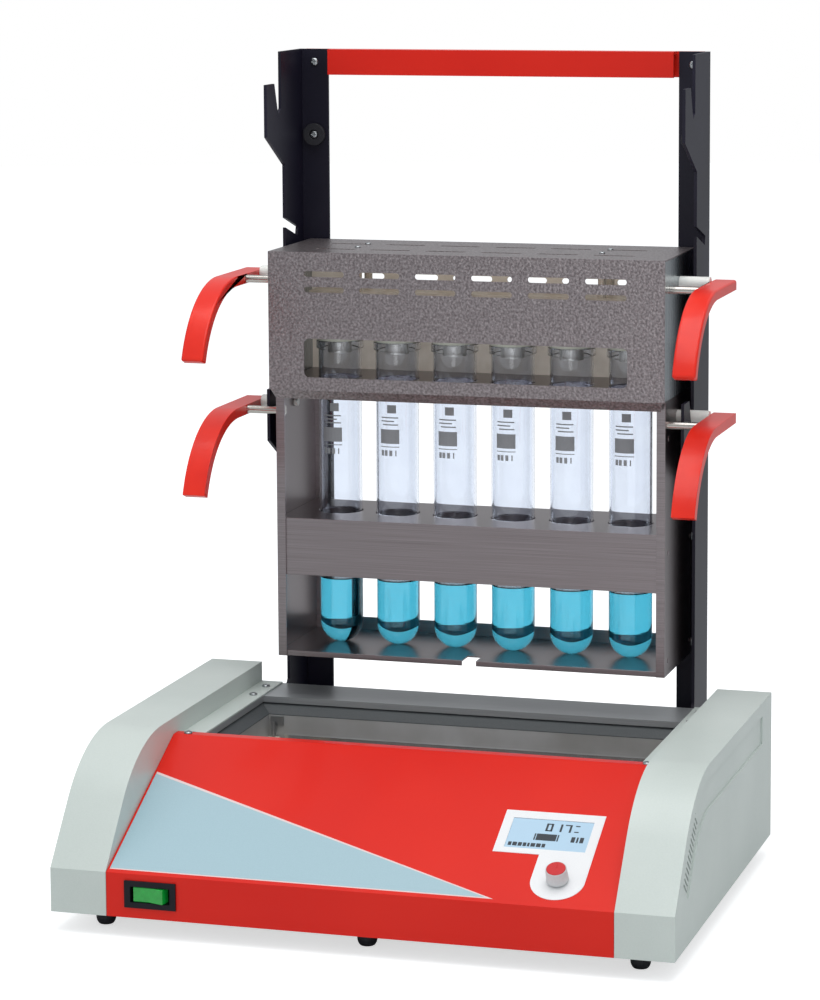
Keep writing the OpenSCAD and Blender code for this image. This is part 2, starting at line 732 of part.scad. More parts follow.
// Right-hand upright: side plate, rear flange and the flange on the rear panel
module upright() {
  x0 = upright_out - flange_w;
  z0 = ground_gap + 20;
  difference() {
    union() {
      yz(upright_out - upright_t, upright_t) upright_outline();
      span([x0, upright_y - upright_t, z0], [upright_out, upright_y, upright_top]);
      span([x0, rear_y, z0], [upright_out, rear_y + upright_t, deck_top - 10]);
    }
    for (z = mount_screw_z)
      y_rod(rear_y - 1, rear_y + upright_t + 1, upright_out - 14, z, 2.6, 24);
    for (z = concat(flange_screw_z, buffer_z))
      y_rod(upright_y - upright_t - 1, upright_y + 1, upright_out - 16, z, 2.1, 24);
  }
}
module left_upright() color("#1b1924") mirror([1, 0, 0]) upright();
module right_upright() color("#1b1924") upright();

// Red channel between the uprights, with a tongue behind each flange
module crossbar() color("#dc3a30") {
  x = upright_out - flange_w;
  z0 = upright_top - crossbar_h;
  difference() {
    span([3 - x, upright_y - crossbar_d, z0], [x - 3, upright_y + upright_t, upright_top]);
    span([-x - 1, upright_y - crossbar_d + 3, z0 - 1], [x + 1, upright_y, upright_top - 3]);
  }
  both() difference() {
    span([x - 4, upright_y, z0], [x + 24, upright_y + upright_t, upright_top]);
    y_rod(upright_y - 1, upright_y + 4, upright_out - 16, flange_screw_z[0], 2.1, 24);
  }
}

// Screws of the uprights: crossbar, flanges, buffers and rear panel
module upright_screws() color("#8d9094") both() {
  for (z = flange_screw_z)
    translate([upright_out - 16, upright_y - upright_t, z]) rotate([90, 0, 0]) screw(2, 5);
  for (z = buffer_z)
    translate([upright_out - 16, upright_y - upright_t - buffer_t + buffer_sink, z])
      rotate([90, 0, 0]) screw(2, 8 - buffer_sink);
  for (z = mount_screw_z)
    translate([upright_out - 14, rear_y + upright_t, z]) rotate([-90, 0, 0]) screw(2.5, 7);
}

// Rubber discs on the flanges, behind the hooks
module buffers() color("#141416") both() for (z = buffer_z) difference() {
  y_rod(upright_y - upright_t - buffer_t, upright_y - upright_t, upright_out - 16, z,
    buffer_d / 2, 64);
  y_rod(upright_y - 20, upright_y, upright_out - 16, z, 2.1, 24);
  y_rod(upright_y - 20, upright_y - upright_t - buffer_t + buffer_sink, upright_out - 16, z, 4.6);
}

// ---- Handles, shared by rack and hood ----

// Side view of a grip whose level part has its middle line at [rod_y, 0]
module grip_outline() {
  r = grip_r;
  c = [rod_y - 26, grip_t / 2 - r];
  difference() {
    intersection() {
      translate(c) circle(r, $fn = 128);
      translate(c) polygon([[0, 0], [0, 2 * r], [-2 * r, 2 * r],
        2 * r * [cos(90 + grip_bend), sin(90 + grip_bend)]]);
    }
    translate(c) circle(r - grip_t, $fn = 128);
  }
  translate([c[0] - 0.01, -grip_t / 2]) square([grip_flat, grip_t]);
}

// Right-hand grip at height z, bored for the rod and the bar's stud
module grip(z) difference() {
  translate([0, 0, z]) yz(grip_in, grip_w) grip_outline();
  x_rod(grip_in - 1, grip_in + grip_w - 3, rod_y, z, rod_d / 2 + 0.05);
  x_rod(grip_in - 1, grip_in + grip_w - 3, bar_y, z + bar_rise, stud_r + 0.05, 24);
}

// Front rods: from inside the side plate to the grip, with a nut on the inside
module rods(z, half, t) both() {
  x_rod(half - t - 5, grip_in + grip_w - 3, rod_y, z, rod_d / 2);
  x_rod(half - t - 5, half - t, rod_y, z, rod_d / 2 + 2.6, 6);
}

// Rear bars: white sleeve between side plate and grip, on a thin stud
module bars(z, half, t) both() {
  x_rod(half, grip_in, bar_y, z, bar_d / 2, 64);
  x_rod(half - t - 4, grip_in + grip_w - 3, bar_y, z, stud_r, 24);
  x_rod(half - t - 4, half - t, bar_y, z, stud_r + 2, 6);
}

// Holes for both in a side plate
module handle_holes(z, half, t) {
  x_rod(half - t - 1, half + 1, rod_y, z, rod_d / 2 + 0.05);
  x_rod(half - t - 1, half + 1, bar_y, z + bar_rise, stud_r + 0.05, 24);
}

// ---- Rack ----

// Right-hand side of the rack: a channel with folds towards the middle
module rack_side() difference() {
  translate([0, 0, rack_bottom]) linear_extrude(rack_h)
    bent([[rack_half - rack_fold, rack_y0], [rack_half, rack_y0], [rack_half, rack_y1],
      [rack_half - rack_fold, rack_y1]], rack_t);
  handle_holes(rack_grip_z, rack_half, rack_t);
  for (y = rivet_y, z = rivet_z)
    x_rod(rack_half - 3, rack_half + 1, y, rack_bottom + z, 1.6, 24);
}
module rack_left_side() color("#8d8a88") mirror([1, 0, 0]) rack_side();
module rack_right_side() color("#8d8a88") rack_side();

// A plate between the rack's sides: path is its section from front to rear
module rack_plate(path) {
  w = rack_half - rack_t;
  yz(-w, 2 * w) bent(path, -rack_t);
}

// Holes for the tubes between two heights
module tube_holes(z0, z1) for (k = [0 : tube_count - 1])
  z_rod(z0, z1, k * tube_pitch - row_half, tube_y, tube_d / 2 + hole_gap, 64);

// Top plate, hidden in the hood
module rack_top_plate() color("#8d8a88") {
  z = rack_bottom + rack_h;
  y0 = rack_y0 + rack_t;
  y1 = rack_y1 - rack_t;
  difference() {
    rack_plate([[y0, z - 12], [y0, z], [y1, z], [y1, z - 12]]);
    tube_holes(z - 5, z + 1);
  }
}

// Middle shelf with the tall band in front
module rack_shelf() color("#8d8a88") {
  z = rack_bottom + shelf_h;
  y0 = rack_y0 + rack_t;
  y1 = rack_y1 - rack_t;
  difference() {
    rack_plate([[y0, z - band_h], [y0, z], [y1, z], [y1, z - 14]]);
    tube_holes(z - 5, z + 1);
  }
}

// Bottom plate that the tubes stand on, with a notch in the middle of its front
module rack_bottom_plate() color("#8d8a88") {
  z = tube_z;
  y0 = rack_y0 + rack_t;
  y1 = rack_y1 - 2 * rack_t;
  difference() {
    rack_plate([[y0, rack_bottom], [y0, z], [y1, z], [y1, z + 13]]);
    span([-7, rack_y0 - 1, rack_bottom - 1], [7, rack_y0 + 23, z + 1]);
  }
}

// Rivets that hold the plates to the sides
module rack_rivets() color("#a5a3a1") both()
  for (y = rivet_y, z = rivet_z) {
    x_rod(rack_half - rack_t, rack_half, y, rack_bottom + z, 1.5, 24);
    x_rod(rack_half, rack_half + 0.8, y, rack_bottom + z, 2.8, 32);
  }

module rack_rods() color("#c6c4c0") rods(rack_grip_z, rack_half, rack_t);
module rack_bars() color("#e9ebe9") bars(seat_z, rack_half, rack_t);
module rack_left_grip() color("#d8271f") mirror([1, 0, 0]) grip(rack_grip_z);
module rack_right_grip() color("#d8271f") grip(rack_grip_z);

// ---- Tubes ----

// Test tube number k: round bottom, thickened rim
module sample_tube(k) color("#dfe8ea") translate([k * tube_pitch - row_half, tube_y, tube_z]) {
  r = tube_d / 2;
  difference() {
    union() {
      translate([0, 0, r]) sphere(r, $fn = 96);
      translate([0, 0, r]) cylinder(r = r, h = tube_h - r, $fn = 96);
      translate([0, 0, tube_h - rim_h]) cylinder(r = r + 2, h = rim_h, $fn = 96);
    }
    translate([0, 0, r]) sphere(r - tube_wall, $fn = 96);
    translate([0, 0, r]) cylinder(r = r - tube_wall, h = tube_h, $fn = 96);
  }
}
module tube_1() sample_tube(0);
module tube_2() sample_tube(1);
module tube_3() sample_tube(2);
module tube_4() sample_tube(3);
module tube_5() sample_tube(4);
module tube_6() sample_tube(5);

// Blue liquid in each tube
module sample_liquids() color("#2bb3cf") for (k = [0 : tube_count - 1])
  translate([k * tube_pitch - row_half, tube_y, tube_z + tube_d / 2]) {
    r = tube_d / 2 - tube_wall - 0.05;
    intersection() {
      sphere(r, $fn = 96);
      translate([-r, -r, -r - 1]) cube([2 * r, 2 * r, r + 1]);
    }
    cylinder(r = r, h = fill_h - r, $fn = 96);
  }

// ---- Hood ----

// Two rows of vent slots with their middles at the heights or depths given
module slot_rows(rows) for (k = [0 : tube_count - 1], v = rows)
  translate([(k - (tube_count - 1) / 2) * slot_pitch, v]) slot(slot_l, slot_w);

// Front, top and rear of the hood in one sheet, with a mitred hem in front
module hood_wrap() color("#8a8284") difference() {
  yz(-hood_half, 2 * hood_half)
    bent([[hood_y0 + 0.65 * hem_h, hood_bottom - hem_h], [hood_y0, hood_bottom],
      [hood_y0, hood_top], [hood_y1, hood_top], [hood_y1, hood_bottom]], -hood_t);
  xz(hood_y0 - 1, hood_t + 2) translate([0, window_z])
    round_rect(2 * (hood_half - window_side), window_h, 5);
  xz(hood_y0 - 1, hood_t + 2) slot_rows([hood_top - 21, hood_top - 36]);
  xz(hood_y1 - 3, 4) slot_rows([hood_top - 21, hood_top - 36]);
  translate([0, 0, hood_top - 3]) linear_extrude(4)
    slot_rows([hood_y0 + 36, hood_y0 + 88]);
  y_rod(hood_y1 - 3, hood_y1 + 1, 0, manifold_z + manifold_h / 2, spigot_d / 2 + 1.9, 64);
  for (sx = [-1, 1], y = stud_y)
    z_rod(hood_top - 3, hood_top + 1, sx * stud_x, y, 1.6, 24);
  both() linear_extrude(hood_bottom - 0.2)
    polygon([[hood_half + 1, hood_y0 - 1], [hood_half - 1, hood_y0 - 1],
      [hood_half - 6, hood_y0 + 0.65 * hem_h + 2], [hood_half + 1, hood_y0 + 0.65 * hem_h + 2]]);
}

// Right-hand side sheet of the hood
module hood_side() difference() {
  span([hood_half - hood_t, hood_y0 + hood_t, hood_bottom + 0.5],
    [hood_half, hood_y1 - hood_t, hood_top - hood_t]);
  handle_holes(hood_grip_z, hood_half, hood_t);
}
module hood_left_side() color("#9aa2a8") mirror([1, 0, 0]) hood_side();
module hood_right_side() color("#9aa2a8") hood_side();

// Steel duct over the tubes: one dropper for each, spigot to the rear
module exhaust_manifold() color("#b4b2ae") {
  z0 = manifold_z;
  z1 = manifold_z + manifold_h;
  w = 22;
  difference() {
    union() {
      span([-manifold_half, tube_y - w, z0], [manifold_half, tube_y + w, z1]);
      for (k = [0 : tube_count - 1])
        z_rod(rim_z - 12, z0 + 1, k * tube_pitch - row_half, tube_y, dropper_d / 2, 64);
      y_rod(tube_y + w - 1, hood_y1 + 3, 0, z0 + manifold_h / 2, spigot_d / 2 + 1.5, 64);
      y_rod(hood_y1 + 2, hood_y1 + spigot_l, 0, z0 + manifold_h / 2, spigot_d / 2, 64);
    }
    span([-manifold_half + 1.5, tube_y - w + 1.5, z0 + 1.5],
      [manifold_half - 1.5, tube_y + w - 1.5, z1 - 1.5]);
    for (k = [0 : tube_count - 1])
      z_rod(rim_z - 13, z0 + 3, k * tube_pitch - row_half, tube_y, dropper_d / 2 - 2, 64);
    y_rod(tube_y + w - 3, hood_y1 + spigot_l + 1, 0, z0 + manifold_h / 2, spigot_d / 2 - 2, 64);
  }
}

// Four studs that hang the manifold from the hood's top
module manifold_studs() color("#a8a6a2") both() for (y = stud_y) difference() {
  z_rod(manifold_z + manifold_h, hood_top - hood_t, stud_x, y, 4, 32);
  z_rod(hood_top - 12, hood_top, stud_x, y, 1.55, 24);
}

// Pale rings that lie on the tubes' rims round the droppers
module tube_seals() color("#dfe3dc") for (k = [0 : tube_count - 1]) difference() {
  z_rod(rim_z, rim_z + 4, k * tube_pitch - row_half, tube_y, tube_d / 2 + 1, 64);
  z_rod(rim_z - 1, rim_z + 5, k * tube_pitch - row_half, tube_y, dropper_d / 2 + 0.05, 64);
}

// Screws in the hood's top, into the studs
module hood_screws() color("#a5a3a1") both() for (y = stud_y)
  translate([stud_x, y, hood_top]) screw(1.5, 9);

module hood_rods() color("#c6c4c0") rods(hood_grip_z, hood_half, hood_t);
module hood_bars() color("#e9ebe9") bars(hood_bar_z, hood_half, hood_t);
module hood_left_grip() color("#d8271f") mirror([1, 0, 0]) grip(hood_grip_z);
module hood_right_grip() color("#d8271f") grip(hood_grip_z);

base_tray();
left_cover();
right_cover();
front_panel();
rear_panel();
deck_frame();
well_collar();
well_liner();
insulation_boards();
heater_tubes();
heater_ceramics();
reflectors();
temperature_probe();
display_plate();
display_module();
encoder_body();
encoder_plunger();
encoder_shaft();
knob();
knob_cap();
switch_housing();
rocker();
control_board();
heat_sink();
mains_inlet();
rubber_feet();
housing_screws();
left_upright();
right_upright();
crossbar();
upright_screws();
buffers();
rack_left_side();
rack_right_side();
rack_top_plate();
rack_shelf();
rack_bottom_plate();
rack_rivets();
rack_rods();
rack_bars();
rack_left_grip();
rack_right_grip();
tube_1();
tube_2();
tube_3();
tube_4();
tube_5();
tube_6();
sample_liquids();
hood_wrap();
hood_left_side();
hood_right_side();
exhaust_manifold();
manifold_studs();
tube_seals();
hood_screws();
hood_rods();
hood_bars();
hood_left_grip();
hood_right_grip();
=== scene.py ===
# Infrared block digester for six tubes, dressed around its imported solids.
# Metres, +Z up, the operator stands on the -Y side. Sizes named _mm are millimetres.
import json
import math

import bmesh
import bpy
from mathutils import Matrix, Vector

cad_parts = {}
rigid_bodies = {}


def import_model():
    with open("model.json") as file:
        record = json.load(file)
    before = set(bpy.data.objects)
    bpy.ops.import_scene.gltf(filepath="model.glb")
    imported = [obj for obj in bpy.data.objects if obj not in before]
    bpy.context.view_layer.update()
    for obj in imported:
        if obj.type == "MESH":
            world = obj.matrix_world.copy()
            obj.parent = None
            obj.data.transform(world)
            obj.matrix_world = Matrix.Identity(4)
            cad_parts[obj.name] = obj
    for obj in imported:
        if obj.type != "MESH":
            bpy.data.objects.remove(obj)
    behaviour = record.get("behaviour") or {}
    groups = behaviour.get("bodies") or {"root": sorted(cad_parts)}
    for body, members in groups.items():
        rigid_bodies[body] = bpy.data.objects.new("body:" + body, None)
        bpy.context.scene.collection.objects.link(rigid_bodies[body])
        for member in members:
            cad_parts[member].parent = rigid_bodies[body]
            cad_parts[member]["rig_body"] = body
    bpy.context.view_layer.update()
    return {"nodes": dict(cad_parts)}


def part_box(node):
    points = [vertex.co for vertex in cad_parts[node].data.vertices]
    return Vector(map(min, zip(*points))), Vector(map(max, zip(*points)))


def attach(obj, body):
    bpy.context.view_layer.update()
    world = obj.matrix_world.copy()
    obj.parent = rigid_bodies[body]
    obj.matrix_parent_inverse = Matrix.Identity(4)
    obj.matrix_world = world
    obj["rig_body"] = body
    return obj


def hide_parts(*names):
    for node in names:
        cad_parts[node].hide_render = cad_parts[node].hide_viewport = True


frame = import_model()
MM = 0.001


# ---- Camera, floor and light ----
# A long lens a little above the hood, from the operator's right. The floor is a pale
# studio disc, the light a large softbox above, weaker ones on the left and in front, and
# a pale room.
camera_data = bpy.data.cameras.new("camera")
sensor_mm, focal_px, picture_px = 36, 3492.94, 1000
camera_data.sensor_width = sensor_mm
camera_data.lens = focal_px * sensor_mm / picture_px
camera_data.shift_y = -0.15
camera = bpy.data.objects.new("camera", camera_data)
bpy.context.scene.collection.objects.link(camera)
camera.matrix_world = Matrix((
    (0.95773, -0.03152, 0.28592, 0.89657),
    (0.28760, 0.12375, -0.94972, -3.05334),
    (-0.00544, 0.99181, 0.12759, 0.90924),
    (0, 0, 0, 1)))
bpy.context.scene.camera = camera
bpy.context.scene.view_settings.view_transform = "Standard"


def linear(hex_colour):
    """An sRGB hex colour as linear red, green, blue and alpha."""
    parts = [int(hex_colour[i:i + 2], 16) / 255 for i in (1, 3, 5)]
    return tuple(c / 12.92 if c <= 0.04045 else ((c + 0.055) / 1.055) ** 2.4 for c in parts) + (1.0,)


def add(tree, kind, inputs=None, **settings):
    """Adds a node with its settings; an input takes a value or the socket that feeds it."""
    made = tree.nodes.new(kind)
    for key, value in settings.items():
        setattr(made, key, value)
    for key, value in (inputs or {}).items():
        if isinstance(value, bpy.types.NodeSocket):
            tree.links.new(value, made.inputs[key])
        else:
            made.inputs[key].default_value = value
    return made


def new_finish(name, **sockets):
    """A material with one Principled shader whose plain sockets are set here."""
    finish = bpy.data.materials.new(name)
    finish.use_nodes = True
    tree = finish.node_tree
    tree.nodes.clear()
    shader = add(tree, "ShaderNodeBsdfPrincipled")
    for key, value in sockets.items():
        shader.inputs[key.replace("_", " ")].default_value = value
    add(tree, "ShaderNodeOutputMaterial", {"Surface": shader.outputs[0]})
    place = add(tree, "ShaderNodeTexCoord").outputs["Object"]
    return finish, tree, shader, place


floor_mesh = bpy.data.meshes.new("floor")
floor_bm = bmesh.new()
bmesh.ops.create_circle(floor_bm, cap_ends=True, radius=9, segments=96)
floor_bm.to_mesh(floor_mesh)
floor_bm.free()
floor = bpy.data.objects.new("floor", floor_mesh)
bpy.context.scene.collection.objects.link(floor)
floor.location.z = -0.0005
floor_finish = bpy.data.materials.new("studio_floor")
floor_finish.use_nodes = True
tree = floor_finish.node_tree
tree.nodes.clear()
matt = add(tree, "ShaderNodeBsdfDiffuse", {"Color": linear("#D8DADB")})
glow = add(tree, "ShaderNodeEmission", {"Color": (1, 1, 1, 1), "Strength": 0.62})
both = add(tree, "ShaderNodeAddShader", {0: matt.outputs[0], 1: glow.outputs[0]})
seen = add(tree, "ShaderNodeLightPath")
through = add(tree, "ShaderNodeMath", {
    0: seen.outputs["Is Camera Ray"], 1: seen.outputs["Is Transmission Ray"]}, operation="MAXIMUM")
mixed = add(tree, "ShaderNodeMixShader", {0: through.outputs[0], 1: matt.outputs[0], 2: both.outputs[0]})
add(tree, "ShaderNodeOutputMaterial", {"Surface": mixed.outputs[0]})
floor_mesh.materials.append(floor_finish)

world = bpy.data.worlds.new("room")
bpy.context.scene.world = world
world.use_nodes = True
tree = world.node_tree
tree.nodes.clear()
way = add(tree, "ShaderNodeTexCoord").outputs["Generated"]
height = add(tree, "ShaderNodeSeparateXYZ", {0: way}).outputs["Z"]
# Walls darker than the ceiling give metal and gloss something to mirror
shade = add(tree, "ShaderNodeValToRGB", {0: add(tree, "ShaderNodeMapRange", {
    "Value": height, "From Min": -0.2, "From Max": 1.0}).outputs[0]})
shade.color_ramp.elements[0].position = 0.10
shade.color_ramp.elements[0].color = linear("#A6A9AC")
shade.color_ramp.elements[1].position = 0.75
shade.color_ramp.elements[1].color = linear("#D6D8DA")
room = add(tree, "ShaderNodeBackground", {"Color": shade.outputs[0], "Strength": 1.0})
white = add(tree, "ShaderNodeBackground", {"Color": (1, 1, 1, 1), "Strength": 1.0})
seen = add(tree, "ShaderNodeLightPath")
through = add(tree, "ShaderNodeMath", {
    0: seen.outputs["Is Camera Ray"], 1: seen.outputs["Is Transmission Ray"]}, operation="MAXIMUM")
mixed = add(tree, "ShaderNodeMixShader", {0: through.outputs[0], 1: room.outputs[0], 2: white.outputs[0]})
add(tree, "ShaderNodeOutputWorld", {"Surface": mixed.outputs[0]})

for name, place, aim, size, power in (
        ("softbox_above", (0.2, -0.4, 2.7), (0, 0, 0.3), 2.2, 38),
        ("softbox_left", (-2.6, -1.6, 1.5), (0, 0, 0.3), 1.6, 5),
        ("softbox_front", (0.5, -3.2, 0.6), (0, 0, 0.5), 1.3, 8)):
    lamp_data = bpy.data.lights.new(name, "AREA")
    lamp_data.size = size
    lamp_data.energy = power
    lamp = bpy.data.objects.new(name, lamp_data)
    bpy.context.scene.collection.objects.link(lamp)
    lamp.location = place
    lamp.rotation_euler = (Vector(aim) - Vector(place)).to_track_quat("-Z", "Y").to_euler()


# ---- Bottom tray ----
# The pan that closes the housing from below: hot-dip galvanised steel sheet, punched
# with cooling slots and folded up at its four edges.
def put_on(name, finish):
    """Gives a CAD node its finish and leaves its mesh as it is."""
    part = frame["nodes"][name]
    if not part.material_slots:
        part.data.materials.append(finish)
    for slot in part.material_slots:
        slot.material = finish


def as_piece(mesh, name, body, stands_for=()):
    piece = bpy.data.objects.new(name, mesh)
    bpy.context.scene.collection.objects.link(piece)
    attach(piece, body)
    if stands_for:
        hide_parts(*stands_for)
    return piece


def settled(shape, name):
    """The shape with its modifiers worked in, as a plain mesh; the shape is removed."""
    bpy.context.view_layer.update()
    graph = bpy.context.evaluated_depsgraph_get()
    mesh = bpy.data.meshes.new_from_object(shape.evaluated_get(graph))
    mesh.name = name
    bpy.data.objects.remove(shape)
    return mesh


def soften(name, finish, edge_mm, corner_mm=None):
    """Replaces a CAD node by its copy with rounded edges: corner_mm where both faces
    are outermost, edge_mm on every other edge."""
    source = frame["nodes"][name]
    mesh = source.data.copy()
    bm = bmesh.new()
    bm.from_mesh(mesh)
    bmesh.ops.remove_doubles(bm, verts=bm.verts, dist=2e-6)
    bmesh.ops.dissolve_limit(bm, angle_limit=math.radians(0.4), verts=bm.verts, edges=bm.edges)
    bm.normal_update()
    weight = bm.edges.layers.float.new("bevel_weight_edge")
    width = (corner_mm or edge_mm) * MM
    reach = {}

    def outermost(face):
        if face.index not in reach:
            level = face.normal.dot(face.verts[0].co)
            reach[face.index] = all(face.normal.dot(v.co) < level + 2e-5 for v in bm.verts)
        return reach[face.index]

    bm.faces.index_update()
    for e in bm.edges:
        if len(e.link_faces) != 2 or e.calc_face_angle(0) < math.radians(30):
            continue
        far = corner_mm and e.calc_face_angle(0) > math.radians(50) and all(
            outermost(f) for f in e.link_faces)
        e[weight] = 1.0 if far else edge_mm * MM / width
    for f in bm.faces:
        f.smooth = True
    bm.to_mesh(mesh)
    bm.free()
    shape = bpy.data.objects.new(name + "_shape", mesh)
    bpy.context.scene.collection.objects.link(shape)
    mesh.materials.clear()
    mesh.materials.append(finish)
    if mesh.has_custom_normals:
        mesh.attributes.remove(mesh.attributes["custom_normal"])
    bevel = shape.modifiers.new("edges", "BEVEL")
    bevel.width = width
    bevel.segments = 3 if corner_mm else 2
    bevel.limit_method = "WEIGHT"
    weighted = shape.modifiers.new("shading", "WEIGHTED_NORMAL")
    weighted.keep_sharp = False
    done = settled(shape, name + "_finished")
    return as_piece(done, name + "_finished", source["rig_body"], [name])


galvanised, tree, shader, place = new_finish("galvanised_steel", Metallic=1.0, Roughness=0.42)
# Zinc crystals about 9 mm across, each a slightly other grey
crystals = add(tree, "ShaderNodeTexVoronoi", {"Vector": place, "Scale": 110.0})
greys = add(tree, "ShaderNodeValToRGB", {0: crystals.outputs["Color"]})
greys.color_ramp.elements[0].color = linear("#9DA1A3")
greys.color_ramp.elements[1].color = linear("#C3C6C7")
tree.links.new(greys.outputs[0], shader.inputs["Base Color"])
put_on("base_tray", galvanised)


# ---- Side covers ----
# Left and right covers of 1.5 mm steel sheet, bent over a round shoulder, with a band
# and louvres pressed into the outer face; light grey powder coat, baked on.
coat, tree, shader, place = new_finish(
    "light_grey_powder_coat", Roughness=0.42, Coat_Weight=0.15, Coat_Roughness=0.3)
# Orange peel of the coat: waves 1.4 mm long, drawn a little coarser than real to show
peel = add(tree, "ShaderNodeTexNoise", {"Vector": place, "Scale": 700.0, "Detail": 2.0})
# Slow drift of the tone over about 120 mm, as handling and light leave it
drift = add(tree, "ShaderNodeTexNoise", {"Vector": place, "Scale": 8.0, "Detail": 3.0})
tone = add(tree, "ShaderNodeValToRGB", {0: drift.outputs[0]})
tone.color_ramp.elements[0].position = 0.3
tone.color_ramp.elements[0].color = linear("#C0CAC5")
tone.color_ramp.elements[1].position = 0.7
tone.color_ramp.elements[1].color = linear("#CAD3CE")
# Painted highlight: the crests of the orange peel are painted up to a tenth paler, as if they caught the
# light
peel_crest_highlight = add(tree, "ShaderNodeMix", {
    "Factor": add(tree, "ShaderNodeMapRange", {"Value": peel.outputs[0], "From Min": 0.3,
                                               "From Max": 0.7, "To Max": 0.10}).outputs[0],
    "A": tone.outputs[0], "B": linear("#E6ECE9")}, data_type="RGBA")
tree.links.new(peel_crest_highlight.outputs["Result"], shader.inputs["Base Color"])
tree.links.new(add(tree, "ShaderNodeBump", {
    "Height": peel.outputs[0], "Strength": 0.25, "Distance": 0.0002}).outputs[0],
    shader.inputs["Normal"])
for name in ("left_cover", "right_cover"):
    soften(name, coat, 0.35, 2.4)
put_on("rear_panel", coat)


# ---- Front panel ----
# One bent sheet: upright strip, slope and lip. Signal red gloss enamel over primer,
# smooth enough to show pale reflections along its bends.
red_enamel, tree, shader, place = new_finish(
    "signal_red_enamel", Roughness=0.32, Specular_IOR_Level=0.25, Coat_Weight=0.1, Coat_Roughness=0.08)
drift = add(tree, "ShaderNodeTexNoise", {"Vector": place, "Scale": 6.0, "Detail": 2.0})
tone = add(tree, "ShaderNodeValToRGB", {0: drift.outputs[0]})
tone.color_ramp.elements[0].position = 0.3
tone.color_ramp.elements[0].color = linear("#D71A0C")
tone.color_ramp.elements[1].position = 0.7
tone.color_ramp.elements[1].color = linear("#DF2210")
tree.links.new(tone.outputs[0], shader.inputs["Base Color"])
# Long waves of the enamel, 4 mm, very shallow
waves = add(tree, "ShaderNodeTexNoise", {"Vector": place, "Scale": 240.0, "Detail": 1.0})
tree.links.new(add(tree, "ShaderNodeBump", {
    "Height": waves.outputs[0], "Strength": 0.12, "Distance": 0.0002}).outputs[0],
    shader.inputs["Normal"])
soften("front_panel", red_enamel, 0.4, 1.2)

# The slope's own axes: across, up the slope and out of the panel, in millimetres
slope_angle = math.radians(25.9676)
panel_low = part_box("front_panel")[0]
strip_height_mm = 40
slope_start = Vector((0, panel_low.y, panel_low.z + strip_height_mm * MM))
slope_up = Vector((0, math.cos(slope_angle), math.sin(slope_angle)))
slope_out = Vector((0, -math.sin(slope_angle), math.cos(slope_angle)))


def on_slope(x_mm, up_mm, out_mm):
    return slope_start + MM * (Vector((x_mm, 0, 0)) + slope_up * up_mm + slope_out * out_mm)


def plate_of(outlines, low_mm, high_mm, spot=on_slope):
    """A closed plate for each outline of flat points, between two heights above a face."""
    bm = bmesh.new()
    for outline in outlines:
        rings = [[bm.verts.new(spot(a, b, level)) for a, b in outline] for level in (low_mm, high_mm)]
        bm.faces.new(rings[0][::-1])
        bm.faces.new(rings[1])
        count = len(outline)
        for i in range(count):
            j = (i + 1) % count
            bm.faces.new((rings[0][i], rings[0][j], rings[1][j], rings[1][i]))
    bmesh.ops.recalc_face_normals(bm, faces=bm.faces)
    mesh = bpy.data.meshes.new("plates")
    bm.to_mesh(mesh)
    bm.free()
    return mesh


# The wedge-shaped graphic: screen-printed film, pale blue inside a thin paler border
film_blue, tree, shader, place = new_finish("pale_blue_film", Roughness=0.36, Coat_Weight=0.2)
dots = add(tree, "ShaderNodeTexNoise", {"Vector": place, "Scale": 900.0, "Detail": 1.0})
tone = add(tree, "ShaderNodeValToRGB", {0: dots.outputs[0]})
tone.color_ramp.elements[0].color = linear("#9DBBC6")
tone.color_ramp.elements[1].color = linear("#A9C6CF")
tree.links.new(tone.outputs[0], shader.inputs["Base Color"])
film_pale, tree, shader, place = new_finish("film_border", Roughness=0.36, Coat_Weight=0.2)
dots = add(tree, "ShaderNodeTexNoise", {"Vector": place, "Scale": 900.0, "Detail": 1.0})
tone = add(tree, "ShaderNodeValToRGB", {0: dots.outputs[0]})
tone.color_ramp.elements[0].color = linear("#E3C9C8")
tone.color_ramp.elements[1].color = linear("#EAD6D4")
tree.links.new(tone.outputs[0], shader.inputs["Base Color"])
wedge_left, wedge_foot = -228.6, 4.6
wedge = plate_of([[(wedge_left, 138.5), (wedge_left, wedge_foot), (123.5, wedge_foot)]], 0.0, 0.12)
wedge.materials.append(film_pale)
as_piece(wedge, "wedge_border", "housing")
border_mm = 1.4
wedge = plate_of([[(wedge_left, 135.6), (wedge_left, wedge_foot + border_mm),
                   (116.3, wedge_foot + border_mm)]], 0.0, 0.2)
wedge.materials.append(film_blue)
as_piece(wedge, "wedge_field", "housing")


# ---- Deck ----
# Sheet behind the well and rails beside it, in stainless steel brushed along X, which
# draws the pale sheen out sideways.
deck_steel, tree, shader, place = new_finish("brushed_deck_steel", Metallic=0.55)
# Brush lines 0.5 mm apart and 60 mm long
grain = add(tree, "ShaderNodeTexNoise", {"Vector": add(tree, "ShaderNodeMapping", {
    "Vector": place, "Scale": (16.0, 1800.0, 1800.0)}).outputs[0], "Scale": 1.0, "Detail": 3.0})
tone = add(tree, "ShaderNodeValToRGB", {0: grain.outputs[0]})
tone.color_ramp.elements[0].color = linear("#8E9295")
tone.color_ramp.elements[1].color = linear("#B6B9BB")
tree.links.new(tone.outputs[0], shader.inputs["Base Color"])
tree.links.new(add(tree, "ShaderNodeMapRange", {
    "Value": grain.outputs[0], "To Min": 0.28, "To Max": 0.42}).outputs[0], shader.inputs["Roughness"])
soften("deck_frame", deck_steel, 0.5)


